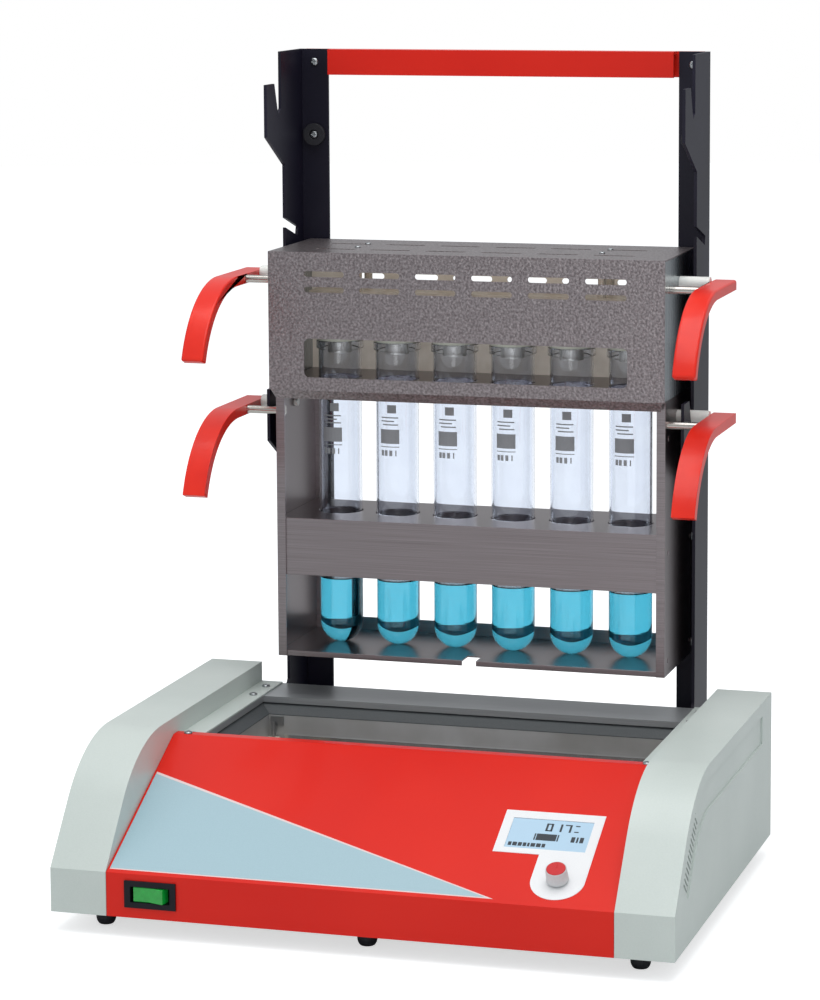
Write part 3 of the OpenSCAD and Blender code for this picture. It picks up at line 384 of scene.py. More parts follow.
# ---- Well ----
# Sloping collar in dark heat-proof paint, liner of bare steel that the heat has
# tinted, calcium-silicate boards round it, six quartz heaters in ceramic blocks.
collar_paint, tree, shader, place = new_finish("heatproof_dark_paint", Roughness=0.55)
grit = add(tree, "ShaderNodeTexNoise", {"Vector": place, "Scale": 1100.0, "Detail": 2.0})
tone = add(tree, "ShaderNodeValToRGB", {0: grit.outputs[0]})
tone.color_ramp.elements[0].color = linear("#3E4244")
tone.color_ramp.elements[1].color = linear("#5B6062")
tree.links.new(tone.outputs[0], shader.inputs["Base Color"])
tree.links.new(add(tree, "ShaderNodeBump", {
    "Height": grit.outputs[0], "Strength": 0.4, "Distance": 0.0002}).outputs[0],
    shader.inputs["Normal"])
soften("well_collar", collar_paint, 0.3)

liner_steel, tree, shader, place = new_finish("heat_tinted_steel", Metallic=0.5)
tint = add(tree, "ShaderNodeTexNoise", {"Vector": place, "Scale": 14.0, "Detail": 4.0})
tone = add(tree, "ShaderNodeValToRGB", {0: tint.outputs[0]})
tone.color_ramp.elements[0].position = 0.3
tone.color_ramp.elements[0].color = linear("#A9A9A7")
tone.color_ramp.elements[1].position = 0.7
tone.color_ramp.elements[1].color = linear("#C2C3C4")
tree.links.new(tone.outputs[0], shader.inputs["Base Color"])
tree.links.new(add(tree, "ShaderNodeMapRange", {
    "Value": tint.outputs[0], "To Min": 0.38, "To Max": 0.55}).outputs[0], shader.inputs["Roughness"])
put_on("well_liner", liner_steel)

board_stuff, tree, shader, place = new_finish("calcium_silicate_board", Roughness=0.9)
fibres = add(tree, "ShaderNodeTexNoise", {"Vector": place, "Scale": 420.0, "Detail": 5.0})
tone = add(tree, "ShaderNodeValToRGB", {0: fibres.outputs[0]})
tone.color_ramp.elements[0].color = linear("#BDB7A8")
tone.color_ramp.elements[1].color = linear("#E6E1D4")
tree.links.new(tone.outputs[0], shader.inputs["Base Color"])
tree.links.new(add(tree, "ShaderNodeBump", {
    "Height": fibres.outputs[0], "Strength": 0.5, "Distance": 0.0005}).outputs[0],
    shader.inputs["Normal"])
put_on("insulation_boards", board_stuff)

quartz, tree, shader, place = new_finish(
    "milky_quartz_glass", Roughness=0.25, IOR=1.46, Transmission_Weight=0.55)
milk = add(tree, "ShaderNodeTexNoise", {"Vector": place, "Scale": 160.0, "Detail": 2.0})
tone = add(tree, "ShaderNodeValToRGB", {0: milk.outputs[0]})
tone.color_ramp.elements[0].color = linear("#DAD3CC")
tone.color_ramp.elements[1].color = linear("#F2EEE9")
tree.links.new(tone.outputs[0], shader.inputs["Base Color"])
put_on("heater_tubes", quartz)

ceramic, tree, shader, place = new_finish("steatite_ceramic", Roughness=0.5)
specks = add(tree, "ShaderNodeTexNoise", {"Vector": place, "Scale": 600.0, "Detail": 2.0})
tone = add(tree, "ShaderNodeValToRGB", {0: specks.outputs[0]})
tone.color_ramp.elements[0].color = linear("#D2C9B4")
tone.color_ramp.elements[1].color = linear("#EEE8DA")
tree.links.new(tone.outputs[0], shader.inputs["Base Color"])
put_on("heater_ceramics", ceramic)

mirror_sheet, tree, shader, place = new_finish("polished_aluminium", Metallic=1.0)
rolls = add(tree, "ShaderNodeTexNoise", {"Vector": add(tree, "ShaderNodeMapping", {
    "Vector": place, "Scale": (900.0, 20.0, 20.0)}).outputs[0], "Scale": 1.0, "Detail": 2.0})
tone = add(tree, "ShaderNodeValToRGB", {0: rolls.outputs[0]})
tone.color_ramp.elements[0].color = linear("#D5D6D8")
tone.color_ramp.elements[1].color = linear("#ECEDEE")
tree.links.new(tone.outputs[0], shader.inputs["Base Color"])
tree.links.new(add(tree, "ShaderNodeMapRange", {
    "Value": rolls.outputs[0], "To Min": 0.08, "To Max": 0.22}).outputs[0], shader.inputs["Roughness"])
put_on("reflectors", mirror_sheet)

probe_steel, tree, shader, place = new_finish("drawn_probe_steel", Metallic=1.0, Roughness=0.34)
lines = add(tree, "ShaderNodeTexNoise", {"Vector": add(tree, "ShaderNodeMapping", {
    "Vector": place, "Scale": (1500.0, 1500.0, 25.0)}).outputs[0], "Scale": 1.0, "Detail": 2.0})
tone = add(tree, "ShaderNodeValToRGB", {0: lines.outputs[0]})
tone.color_ramp.elements[0].color = linear("#8F9193")
tone.color_ramp.elements[1].color = linear("#BABCBD")
tree.links.new(tone.outputs[0], shader.inputs["Base Color"])
soften("temperature_probe", probe_steel, 0.3)


# ---- Display ----
# White printed film plate with a round tab, and behind it a reflective liquid-crystal
# display with a pale blue backlight and dark characters.
plate_white, tree, shader, place = new_finish("white_polyester_film", Roughness=0.35, Coat_Weight=0.2)
web = add(tree, "ShaderNodeTexNoise", {"Vector": place, "Scale": 1400.0, "Detail": 1.0})
tone = add(tree, "ShaderNodeValToRGB", {0: web.outputs[0]})
tone.color_ramp.elements[0].color = linear("#E6E8EA")
tone.color_ramp.elements[1].color = linear("#F2F3F4")
tree.links.new(tone.outputs[0], shader.inputs["Base Color"])
tree.links.new(add(tree, "ShaderNodeBump", {
    "Height": web.outputs[0], "Strength": 0.15, "Distance": 0.0001}).outputs[0],
    shader.inputs["Normal"])
put_on("display_plate", plate_white)

lcd_glass, tree, shader, place = new_finish("liquid_crystal_glass", Roughness=0.12)
# Pixel grid of 0.6 mm, faint between the dots
dots = add(tree, "ShaderNodeTexVoronoi", {"Vector": place, "Scale": 1600.0, "Randomness": 0.0})
tone = add(tree, "ShaderNodeValToRGB", {0: dots.outputs["Distance"]})
tone.color_ramp.elements[0].color = linear("#A9CBE4")
tone.color_ramp.elements[1].color = linear("#C3DDEE")
tree.links.new(tone.outputs[0], shader.inputs["Base Color"])
put_on("display_module", lcd_glass)

ink, tree, shader, place = new_finish("display_ink", Roughness=0.3)
blot = add(tree, "ShaderNodeTexNoise", {"Vector": place, "Scale": 1500.0, "Detail": 1.0})
tone = add(tree, "ShaderNodeValToRGB", {0: blot.outputs[0]})
tone.color_ramp.elements[0].color = linear("#20262C")
tone.color_ramp.elements[1].color = linear("#39424B")
tree.links.new(tone.outputs[0], shader.inputs["Base Color"])


def strokes(word, x_mm, up_mm, height_mm):
    """Outlines of digits built from straight strokes, like the segments of a display."""
    segments = {"0": "abcdef", "1": "bc", "7": "abc"}
    w, t = 0.62 * height_mm, 0.13 * height_mm
    spans = {
        "a": (0, height_mm - t, w, height_mm), "d": (0, 0, w, t),
        "b": (w - t * 1.4, height_mm / 2, w, height_mm), "c": (w - t * 1.4, 0, w, height_mm / 2),
        "f": (0, height_mm / 2, t * 1.4, height_mm), "e": (0, 0, t * 1.4, height_mm / 2)}
    outlines = []
    for i, digit in enumerate(word):
        x = x_mm + i * 1.35 * w
        for name in segments[digit]:
            x0, y0, x1, y1 = spans[name]
            outlines.append([(x + x0, up_mm + y0), (x + x1, up_mm + y0), (x + x1, up_mm + y1),
                             (x + x0, up_mm + y1)])
    return outlines


def bars(x_mm, up_mm, lengths_mm, height_mm, gap_mm):
    """Outlines of plain bars in a row, which stand for a word."""
    outlines = []
    for length in lengths_mm:
        outlines.append([(x_mm, up_mm), (x_mm + length, up_mm),
                         (x_mm + length, up_mm + height_mm), (x_mm, up_mm + height_mm)])
        x_mm += length + gap_mm
    return outlines


lcd_x, lcd_up = 153.2, 91.4
screen = strokes("017", lcd_x - 5, lcd_up + 5.0, 10)
screen += bars(lcd_x + 21, lcd_up + 5.5, [4], 1.2, 1) + bars(lcd_x + 21, lcd_up + 13.3, [4], 1.2, 1)
screen += bars(lcd_x - 13, lcd_up - 7.5, [1.2, 18, 1.2], 8.5, 0.8)
screen += bars(lcd_x + 20.5, lcd_up - 7.5, [3.4, 1.6, 3.4], 7, 1.4)
screen += bars(lcd_x - 34, lcd_up - 16.5, [3, 4, 3.4, 3, 2, 4, 4, 3], 4.6, 1.0)
mesh = plate_of(screen, -0.2, 0.06)
mesh.materials.append(ink)
as_piece(mesh, "display_characters", "housing")


# ---- Knob ----
# Push-and-turn control: turned knob of pale grey ABS with a red cap, on a steel shaft
# that runs in the brass bush of the encoder under the panel.
knob_grey, tree, shader, place = new_finish("pale_grey_abs", Roughness=0.38)
fine = add(tree, "ShaderNodeTexNoise", {"Vector": place, "Scale": 1800.0, "Detail": 1.0})
tone = add(tree, "ShaderNodeValToRGB", {0: fine.outputs[0]})
tone.color_ramp.elements[0].color = linear("#C5CACC")
tone.color_ramp.elements[1].color = linear("#D9DDDE")
tree.links.new(tone.outputs[0], shader.inputs["Base Color"])
soften("knob", knob_grey, 0.5)
cap_red, tree, shader, place = new_finish("red_moulded_abs", Roughness=0.3)
fine = add(tree, "ShaderNodeTexNoise", {"Vector": place, "Scale": 1500.0, "Detail": 1.0})
tone = add(tree, "ShaderNodeValToRGB", {0: fine.outputs[0]})
tone.color_ramp.elements[0].color = linear("#C4141A")
tone.color_ramp.elements[1].color = linear("#D01E22")
tree.links.new(tone.outputs[0], shader.inputs["Base Color"])
soften("knob_cap", cap_red, 0.25)
turned_steel, tree, shader, place = new_finish("turned_steel", Metallic=1.0, Roughness=0.26)
rings = add(tree, "ShaderNodeTexWave", {"Vector": place, "Scale": 900.0}, bands_direction="Z")
tone = add(tree, "ShaderNodeValToRGB", {0: rings.outputs[0]})
tone.color_ramp.elements[0].color = linear("#A7AAAC")
tone.color_ramp.elements[1].color = linear("#C4C6C7")
tree.links.new(tone.outputs[0], shader.inputs["Base Color"])
put_on("encoder_shaft", turned_steel)
brass, tree, shader, place = new_finish("turned_brass", Metallic=1.0, Roughness=0.3)
rings = add(tree, "ShaderNodeTexNoise", {"Vector": place, "Scale": 700.0})
tone = add(tree, "ShaderNodeValToRGB", {0: rings.outputs[0]})
tone.color_ramp.elements[0].color = linear("#B48F45")
tone.color_ramp.elements[1].color = linear("#CDAA60")
tree.links.new(tone.outputs[0], shader.inputs["Base Color"])
put_on("encoder_plunger", brass)


# ---- Power switch ----
# Snap-in rocker switch: bezel of black polyamide with moulded grain, rocker of clear
# green polycarbonate that glows a little from its lamp, small white mark on the left.
black_nylon, tree, shader, place = new_finish("black_polyamide", Roughness=0.45, Specular_IOR_Level=0.25)
grain = add(tree, "ShaderNodeTexNoise", {"Vector": place, "Scale": 1300.0, "Detail": 2.0})
tone = add(tree, "ShaderNodeValToRGB", {0: grain.outputs[0]})
tone.color_ramp.elements[0].color = linear("#0D0E14")
tone.color_ramp.elements[1].color = linear("#191A22")
tree.links.new(tone.outputs[0], shader.inputs["Base Color"])
tree.links.new(add(tree, "ShaderNodeBump", {
    "Height": grain.outputs[0], "Strength": 0.2, "Distance": 0.0001}).outputs[0],
    shader.inputs["Normal"])
soften("switch_housing", black_nylon, 0.5)
put_on("encoder_body", black_nylon)
put_on("mains_inlet", black_nylon)

green_lens, tree, shader, place = new_finish(
    "clear_green_polycarbonate", Roughness=0.18, Coat_Weight=0.6, Coat_Roughness=0.05)
depth = add(tree, "ShaderNodeTexNoise", {"Vector": place, "Scale": 220.0, "Detail": 1.0})
tone = add(tree, "ShaderNodeValToRGB", {0: depth.outputs[0]})
tone.color_ramp.elements[0].color = linear("#058229")
tone.color_ramp.elements[1].color = linear("#14A53C")
tree.links.new(tone.outputs[0], shader.inputs["Base Color"])
tree.links.new(tone.outputs[0], shader.inputs["Emission Color"])
shader.inputs["Emission Strength"].default_value = 0.15
soften("rocker", green_lens, 0.8)


# ---- Electronics ----
# Board with its transformer, and the finned aluminium heat sink of the heater control,
# both under the panel and out of sight.
solder_mask, tree, shader, place = new_finish("green_solder_mask", Roughness=0.35)
tracks = add(tree, "ShaderNodeTexBrick", {
    "Vector": place, "Scale": 60.0, "Color1": linear("#1F5B39"), "Color2": linear("#276B45"),
    "Mortar": linear("#3C8458"), "Mortar Size": 0.02})
tree.links.new(tracks.outputs[0], shader.inputs["Base Color"])
put_on("control_board", solder_mask)
sink_metal, tree, shader, place = new_finish("extruded_aluminium", Metallic=1.0, Roughness=0.4)
drawn = add(tree, "ShaderNodeTexNoise", {"Vector": add(tree, "ShaderNodeMapping", {
    "Vector": place, "Scale": (1200.0, 12.0, 1200.0)}).outputs[0], "Scale": 1.0, "Detail": 2.0})
tone = add(tree, "ShaderNodeValToRGB", {0: drawn.outputs[0]})
tone.color_ramp.elements[0].color = linear("#8A8D90")
tone.color_ramp.elements[1].color = linear("#AEB1B3")
tree.links.new(tone.outputs[0], shader.inputs["Base Color"])
put_on("heat_sink", sink_metal)


# ---- Feet ----
# Six domed feet of black rubber, pressed into the tray from below; matt, with a little
# dust that greys them.
foot_rubber, tree, shader, place = new_finish("black_foot_rubber", Roughness=0.6)
dust = add(tree, "ShaderNodeTexNoise", {"Vector": place, "Scale": 500.0, "Detail": 4.0})
tone = add(tree, "ShaderNodeValToRGB", {0: dust.outputs[0]})
tone.color_ramp.elements[0].color = linear("#0E0E14")
tone.color_ramp.elements[1].color = linear("#22222A")
tree.links.new(tone.outputs[0], shader.inputs["Base Color"])
soften("rubber_feet", foot_rubber, 0.6)


# ---- Screws and rivets ----
# Cross-recessed pan-head screws of zinc-plated steel, and the round rivets of the rack,
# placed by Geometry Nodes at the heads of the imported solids.
zinc, tree, shader, place = new_finish("zinc_plated_steel", Metallic=1.0, Roughness=0.3)
bloom = add(tree, "ShaderNodeTexNoise", {"Vector": place, "Scale": 700.0, "Detail": 2.0})
tone = add(tree, "ShaderNodeValToRGB", {0: bloom.outputs[0]})
tone.color_ramp.elements[0].color = linear("#8F9497")
tone.color_ramp.elements[1].color = linear("#C3C7C9")
tree.links.new(tone.outputs[0], shader.inputs["Base Color"])


def islands(name):
    """Lowest and highest corner of each loose solid of a CAD node."""
    bm = bmesh.new()
    bm.from_mesh(frame["nodes"][name].data)
    bmesh.ops.remove_doubles(bm, verts=bm.verts, dist=2e-6)
    left, found = set(bm.verts), []
    while left:
        stack, group = [left.pop()], []
        while stack:
            v = stack.pop()
            group.append(v.co.copy())
            for e in v.link_edges:
                o = e.other_vert(v)
                if o in left:
                    left.remove(o)
                    stack.append(o)
        found.append((Vector([min(c[i] for c in group) for i in range(3)]),
                      Vector([max(c[i] for c in group) for i in range(3)])))
    bm.free()
    return sorted(found, key=lambda f: tuple(round(c, 5) for c in f[0]))


def turned(profile_mm, sides, name, cross_mm=0.0):
    """A closed turned shape from radius and height pairs; a cross recess in its top."""
    bm = bmesh.new()
    rings = []
    for radius, z in profile_mm:
        if radius == 0:
            rings.append([bm.verts.new((0, 0, z * MM))])
        else:
            rings.append([bm.verts.new((radius * MM * math.cos(math.tau * i / sides),
                                        radius * MM * math.sin(math.tau * i / sides), z * MM))
                          for i in range(sides)])
    for low, high in zip(rings, rings[1:]):
        for i in range(sides):
            j = (i + 1) % sides
            corners = []
            for v in (low[i % len(low)], low[j % len(low)], high[j % len(high)], high[i % len(high)]):
                if v not in corners:
                    corners.append(v)
            bm.faces.new(corners)
    bmesh.ops.recalc_face_normals(bm, faces=bm.faces)
    for f in bm.faces:
        f.smooth = True
    mesh = bpy.data.meshes.new(name)
    bm.to_mesh(mesh)
    bm.free()
    if cross_mm:
        shape = bpy.data.objects.new(name, mesh)
        bpy.context.scene.collection.objects.link(shape)
        top = max(z for _, z in profile_mm)
        cutter = bmesh.new()
        for turn in (0, math.pi / 2):
            bmesh.ops.create_cube(cutter, size=1.0, matrix=Matrix.Translation((0, 0, top * MM)) @
                                  Matrix.Rotation(turn, 4, "Z") @
                                  Matrix.Diagonal((cross_mm * MM, 0.22 * cross_mm * MM, 1.6 * MM, 1)))
        knife_mesh = bpy.data.meshes.new("recess")
        cutter.to_mesh(knife_mesh)
        cutter.free()
        knife = bpy.data.objects.new("recess", knife_mesh)
        bpy.context.scene.collection.objects.link(knife)
        cut = shape.modifiers.new("recess", "BOOLEAN")
        cut.object = knife
        cut.solver = "EXACT"
        cut.use_self = True
        mesh = settled(shape, name)
        bpy.data.objects.remove(knife)
    return mesh


def scatter_tree(name, finish):
    """Geometry Nodes that put one head on every point, turned along its 'axis'."""
    tree = bpy.data.node_groups.new(name, "GeometryNodeTree")
    tree.interface.new_socket("Geometry", in_out="INPUT", socket_type="NodeSocketGeometry")
    tree.interface.new_socket("Head", in_out="INPUT", socket_type="NodeSocketObject")
    tree.interface.new_socket("Geometry", in_out="OUTPUT", socket_type="NodeSocketGeometry")
    start = add(tree, "NodeGroupInput")
    head = add(tree, "GeometryNodeObjectInfo", {"Object": start.outputs["Head"]})
    axis = add(tree, "GeometryNodeInputNamedAttribute", {"Name": "axis"}, data_type="FLOAT_VECTOR")
    size = add(tree, "GeometryNodeInputNamedAttribute", {"Name": "size"}, data_type="FLOAT")
    axis_out, size_out = [next(o for o in n.outputs if o.enabled) for n in (axis, size)]
    turn = add(tree, "FunctionNodeAlignRotationToVector", {"Vector": axis_out}, axis="Z")
    put = add(tree, "GeometryNodeInstanceOnPoints", {
        "Points": start.outputs["Geometry"], "Instance": head.outputs["Geometry"],
        "Rotation": turn.outputs[0], "Scale": size_out})
    real = add(tree, "GeometryNodeRealizeInstances", {0: put.outputs[0]})
    dyed = add(tree, "GeometryNodeSetMaterial", {"Geometry": real.outputs[0], "Material": finish})
    add(tree, "NodeGroupOutput", {0: dyed.outputs[0]})
    return tree


def scatter(name, spots, head_mesh, finish, body, stands_for):
    """One piece of many heads: spots are (point, axis, size)."""
    points = bpy.data.meshes.new(name + "_points")
    points.from_pydata([tuple(p) for p, _, _ in spots], [], [])
    points.attributes.new("axis", "FLOAT_VECTOR", "POINT")
    points.attributes.new("size", "FLOAT", "POINT")
    for i, (_, way, size) in enumerate(spots):
        points.attributes["axis"].data[i].vector = way
        points.attributes["size"].data[i].value = size
    head = bpy.data.objects.new(name + "_head", head_mesh)
    bpy.context.scene.collection.objects.link(head)
    shape = bpy.data.objects.new(name + "_shape", points)
    bpy.context.scene.collection.objects.link(shape)
    modifier = shape.modifiers.new("heads", "NODES")
    tree = scatter_tree(name + "_tree", finish)
    modifier.node_group = tree
    socket = next(s for s in tree.interface.items_tree if s.name == "Head")
    modifier[socket.identifier] = head
    mesh = settled(shape, name)
    bpy.data.objects.remove(head)
    mesh.materials.clear()
    mesh.materials.append(finish)
    return as_piece(mesh, name, body, stands_for)


# Head of a screw whose thread is 1 mm in radius, with a short length of its shank
pan_head = turned([(0, -1.4), (1.0, -1.4), (1.0, 0), (1.95, 0), (2.0, 0.25), (1.85, 0.75),
                   (1.35, 1.02), (0.7, 1.1), (0, 1.1)], 32, "pan_head", 1.9)
heads = []
for low, high in islands("housing_screws"):
    heads.append(((low.x / 2 + high.x / 2, low.y / 2 + high.y / 2, high.z - 2.2 * MM), (0, 0, 1), 2.0))
scatter("housing_screw_heads", heads, pan_head, zinc, "housing", ["housing_screws"])
heads = []
for low, high in islands("hood_screws"):
    heads.append(((low.x / 2 + high.x / 2, low.y / 2 + high.y / 2, high.z - 1.65 * MM), (0, 0, 1), 1.5))
scatter("hood_screw_heads", heads, pan_head, zinc, "hood", ["hood_screws"])
heads = []
rear_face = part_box("rear_panel")[1].y
for low, high in islands("upright_screws"):
    middle = (low + high) / 2
    size = (high.x - low.x) / 8 / MM * 2
    if middle.y > rear_face + 20 * MM:
        heads.append(((middle.x, low.y + 1.1 * size * MM, middle.z), (0, -1, 0), size))
    else:
        heads.append(((middle.x, high.y - 1.1 * size * MM, middle.z), (0, 1, 0), size))
scatter("upright_screw_heads", heads, pan_head, zinc, "housing", ["upright_screws"])


# ---- Uprights ----
# Two posts of 3 mm steel plate, laser cut with hooks and folded; blue-black satin
# powder coat. The channel between them is enamelled red, the buffers are rubber.
upright_black, tree, shader, place = new_finish(
    "blue_black_powder_coat", Roughness=0.42, Specular_IOR_Level=0.25)
peel = add(tree, "ShaderNodeTexNoise", {"Vector": place, "Scale": 650.0, "Detail": 2.0})
drift = add(tree, "ShaderNodeTexNoise", {"Vector": place, "Scale": 9.0, "Detail": 3.0})
tone = add(tree, "ShaderNodeValToRGB", {0: drift.outputs[0]})
tone.color_ramp.elements[0].position = 0.3
tone.color_ramp.elements[0].color = linear("#110F1E")
tone.color_ramp.elements[1].position = 0.7
tone.color_ramp.elements[1].color = linear("#1C1A2B")
tree.links.new(tone.outputs[0], shader.inputs["Base Color"])
tree.links.new(add(tree, "ShaderNodeBump", {
    "Height": peel.outputs[0], "Strength": 0.3, "Distance": 0.0002}).outputs[0],
    shader.inputs["Normal"])
for name in ("left_upright", "right_upright"):
    soften(name, upright_black, 0.4)
soften("crossbar", red_enamel, 0.5, 1.2)
soften("buffers", foot_rubber, 0.5)


# ---- Rack ----
# Sides, shelf and plates of 1.5 mm stainless steel, ground in the length of each
# sheet, riveted together; the rivets are of the same steel.
rack_steel, tree, shader, place = new_finish("ground_stainless_steel", Metallic=1.0)
# Grinding lines 0.4 mm apart and about 125 mm long
grain = add(tree, "ShaderNodeTexNoise", {"Vector": add(tree, "ShaderNodeMapping", {
    "Vector": place, "Scale": (8.0, 2600.0, 2600.0)}).outputs[0], "Scale": 1.0, "Detail": 2.0})
tone = add(tree, "ShaderNodeValToRGB", {0: grain.outputs[0]})
tone.color_ramp.elements[0].position = 0.25
tone.color_ramp.elements[0].color = linear("#827A7C")
tone.color_ramp.elements[1].position = 0.75
tone.color_ramp.elements[1].color = linear("#9D9597")
tree.links.new(tone.outputs[0], shader.inputs["Base Color"])
tree.links.new(add(tree, "ShaderNodeMapRange", {
    "Value": grain.outputs[0], "To Min": 0.24, "To Max": 0.4}).outputs[0], shader.inputs["Roughness"])
for name in ("rack_left_side", "rack_right_side", "rack_top_plate", "rack_shelf", "rack_bottom_plate"):
    soften(name, rack_steel, 0.35)
rivet_head = turned([(0, -1.5), (1.0, -1.5), (1.0, 0), (2.8, 0), (2.6, 0.45), (1.7, 0.72), (0, 0.8)],
                    28, "rivet_head")
heads = []
for low, high in islands("rack_rivets"):
    side = 1 if low.x > 0 else -1
    outer = high.x if side > 0 else low.x
    heads.append(((outer - side * 0.8 * MM, (low.y + high.y) / 2, (low.z + high.z) / 2), (side, 0, 0), 1.0))
scatter("rack_rivet_heads", heads, rivet_head, rack_steel, "rack", ["rack_rivets"])


# ---- Handles ----
# Grips of glossy red moulded plastic with well rounded edges, on polished steel rods
# in front and on bars with white sleeves behind.
grip_red, tree, shader, place = new_finish(
    "glossy_red_plastic", Roughness=0.3, Specular_IOR_Level=0.3, Coat_Weight=0.1, Coat_Roughness=0.1)
drift = add(tree, "ShaderNodeTexNoise", {"Vector": place, "Scale": 30.0, "Detail": 2.0})
tone = add(tree, "ShaderNodeValToRGB", {0: drift.outputs[0]})
tone.color_ramp.elements[0].position = 0.3
tone.color_ramp.elements[0].color = linear("#DE2212")
tone.color_ramp.elements[1].position = 0.7
tone.color_ramp.elements[1].color = linear("#E92B18")
tree.links.new(tone.outputs[0], shader.inputs["Base Color"])
for name in ("rack_left_grip", "rack_right_grip", "hood_left_grip", "hood_right_grip"):
    soften(name, grip_red, 0.4, 2.4)
rod_steel, tree, shader, place = new_finish("polished_steel", Metallic=1.0)
lines = add(tree, "ShaderNodeTexNoise", {"Vector": add(tree, "ShaderNodeMapping", {
    "Vector": place, "Scale": (1400.0, 60.0, 60.0)}).outputs[0], "Scale": 1.0, "Detail": 2.0})
tone = add(tree, "ShaderNodeValToRGB", {0: lines.outputs[0]})
tone.color_ramp.elements[0].color = linear("#B3ADA6")
tone.color_ramp.elements[1].color = linear("#D3CEC8")
tree.links.new(tone.outputs[0], shader.inputs["Base Color"])
tree.links.new(add(tree, "ShaderNodeMapRange", {
    "Value": lines.outputs[0], "To Min": 0.12, "To Max": 0.24}).outputs[0], shader.inputs["Roughness"])
sleeve_white, tree, shader, place = new_finish("white_ptfe_sleeve", Roughness=0.4)
cloud = add(tree, "ShaderNodeTexNoise", {"Vector": place, "Scale": 300.0, "Detail": 2.0})
tone = add(tree, "ShaderNodeValToRGB", {0: cloud.outputs[0]})
tone.color_ramp.elements[0].color = linear("#DFE1DC")
tone.color_ramp.elements[1].color = linear("#EFF0EC")
tree.links.new(tone.outputs[0], shader.inputs["Base Color"])
for name in ("rack_rods", "hood_rods"):
    soften(name, rod_steel, 0.3)
for name in ("rack_bars", "hood_bars"):
    soften(name, sleeve_white, 0.5)


# ---- Tubes ----
# Six test tubes of borosilicate glass with thickened, fire-polished rims. Thick glass
# shows a faint green at its edges. The labels are fired-on white enamel, no wording.
clear_glass, tree, shader, place = new_finish(
    "borosilicate_glass", Roughness=0.0, IOR=1.47, Transmission_Weight=1.0)
cord = add(tree, "ShaderNodeTexNoise", {"Vector": place, "Scale": 40.0, "Detail": 1.0})
tone = add(tree, "ShaderNodeValToRGB", {0: cord.outputs[0]})
tone.color_ramp.elements[0].color = linear("#E6EAF2")
tone.color_ramp.elements[1].color = linear("#EDF1F7")
tree.links.new(tone.outputs[0], shader.inputs["Base Color"])
for k in range(1, 7):
    soften(f"tube_{k}", clear_glass, 0.9)

enamel_mark, tree, shader, place = new_finish("fired_white_enamel", Roughness=0.6)
frost = add(tree, "ShaderNodeTexNoise", {"Vector": place, "Scale": 1200.0, "Detail": 2.0})
tone = add(tree, "ShaderNodeValToRGB", {0: frost.outputs[0]})
tone.color_ramp.elements[0].color = linear("#8A8E93")
tone.color_ramp.elements[1].color = linear("#AFB3B8")
tree.links.new(tone.outputs[0], shader.inputs["Base Color"])
tube_mid = [(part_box(f"tube_{k}")[0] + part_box(f"tube_{k}")[1]) / 2 for k in range(1, 7)]
tube_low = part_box("tube_1")[0]
label_z_mm = tube_low.z / MM + 188
# Small block, three lines, framed box and a row of short bars: x0, z0, x1, z1
marks = [(-2, 44, 7, 52), (-9, 39, 9, 40.2), (-9, 35.5, 5, 36.7), (-7, 32, 9, 33.2),
         (-10, 14, 10, 28), (-10, 10.5, 10, 11.3), (-9, 2, -6, 7.5), (-5, 2, -2, 7.5), (0, 2, 3, 7.5),
         (6, 2, 7.2, 7.5)]
label_bm = bmesh.new()
for middle in tube_mid:
    for x0, z0, x1, z1 in marks:
        steps = 6
        grid = []
        for i in range(steps + 1):
            x = x0 + (x1 - x0) * i / steps
            turn = x / 21.05 - 0.1
            column = []
            for z in (z0, z1):
                for radius in (20.95, 21.1):
                    column.append(label_bm.verts.new((
                        middle.x + radius * MM * math.sin(turn),
                        middle.y - radius * MM * math.cos(turn), (label_z_mm + z) * MM)))
            grid.append(column)
        for p, q in zip(grid, grid[1:]):
            for i, j in ((0, 1), (1, 3), (3, 2), (2, 0)):
                label_bm.faces.new((p[i], p[j], q[j], q[i]))
        label_bm.faces.new([grid[0][i] for i in (0, 1, 3, 2)])
        label_bm.faces.new([grid[-1][i] for i in (0, 2, 3, 1)])
bmesh.ops.recalc_face_normals(label_bm, faces=label_bm.faces)
label_mesh = bpy.data.meshes.new("tube_labels")
label_bm.to_mesh(label_mesh)
label_bm.free()
label_mesh.materials.append(enamel_mark)
as_piece(label_mesh, "tube_labels", "rack")


# ---- Liquid ----
# Turquoise copper solution. Its surface climbs the glass in a small meniscus, and it
# reaches a hair into the wall so that no film of air shows between them.
solution, tree, shader, place = new_finish(
    "turquoise_solution", Roughness=0.0, IOR=1.33, Transmission_Weight=1.0)
swirl = add(tree, "ShaderNodeTexNoise", {"Vector": place, "Scale": 30.0, "Detail": 1.0})
tone = add(tree, "ShaderNodeValToRGB", {0: swirl.outputs[0]})
tone.color_ramp.elements[0].color = linear("#4CC3D6")
tone.color_ramp.elements[1].color = linear("#66CEDD")
tree.links.new(tone.outputs[0], shader.inputs["Base Color"])
liquid_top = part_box("sample_liquids")[1].z
inner_mm = 19.04
dome_mm = 21
profile = [(inner_mm * math.sin(math.radians(a)), dome_mm - inner_mm * math.cos(math.radians(a)))
           for a in range(0, 91, 6)]
surface_mm = (liquid_top - tube_low.z) / MM
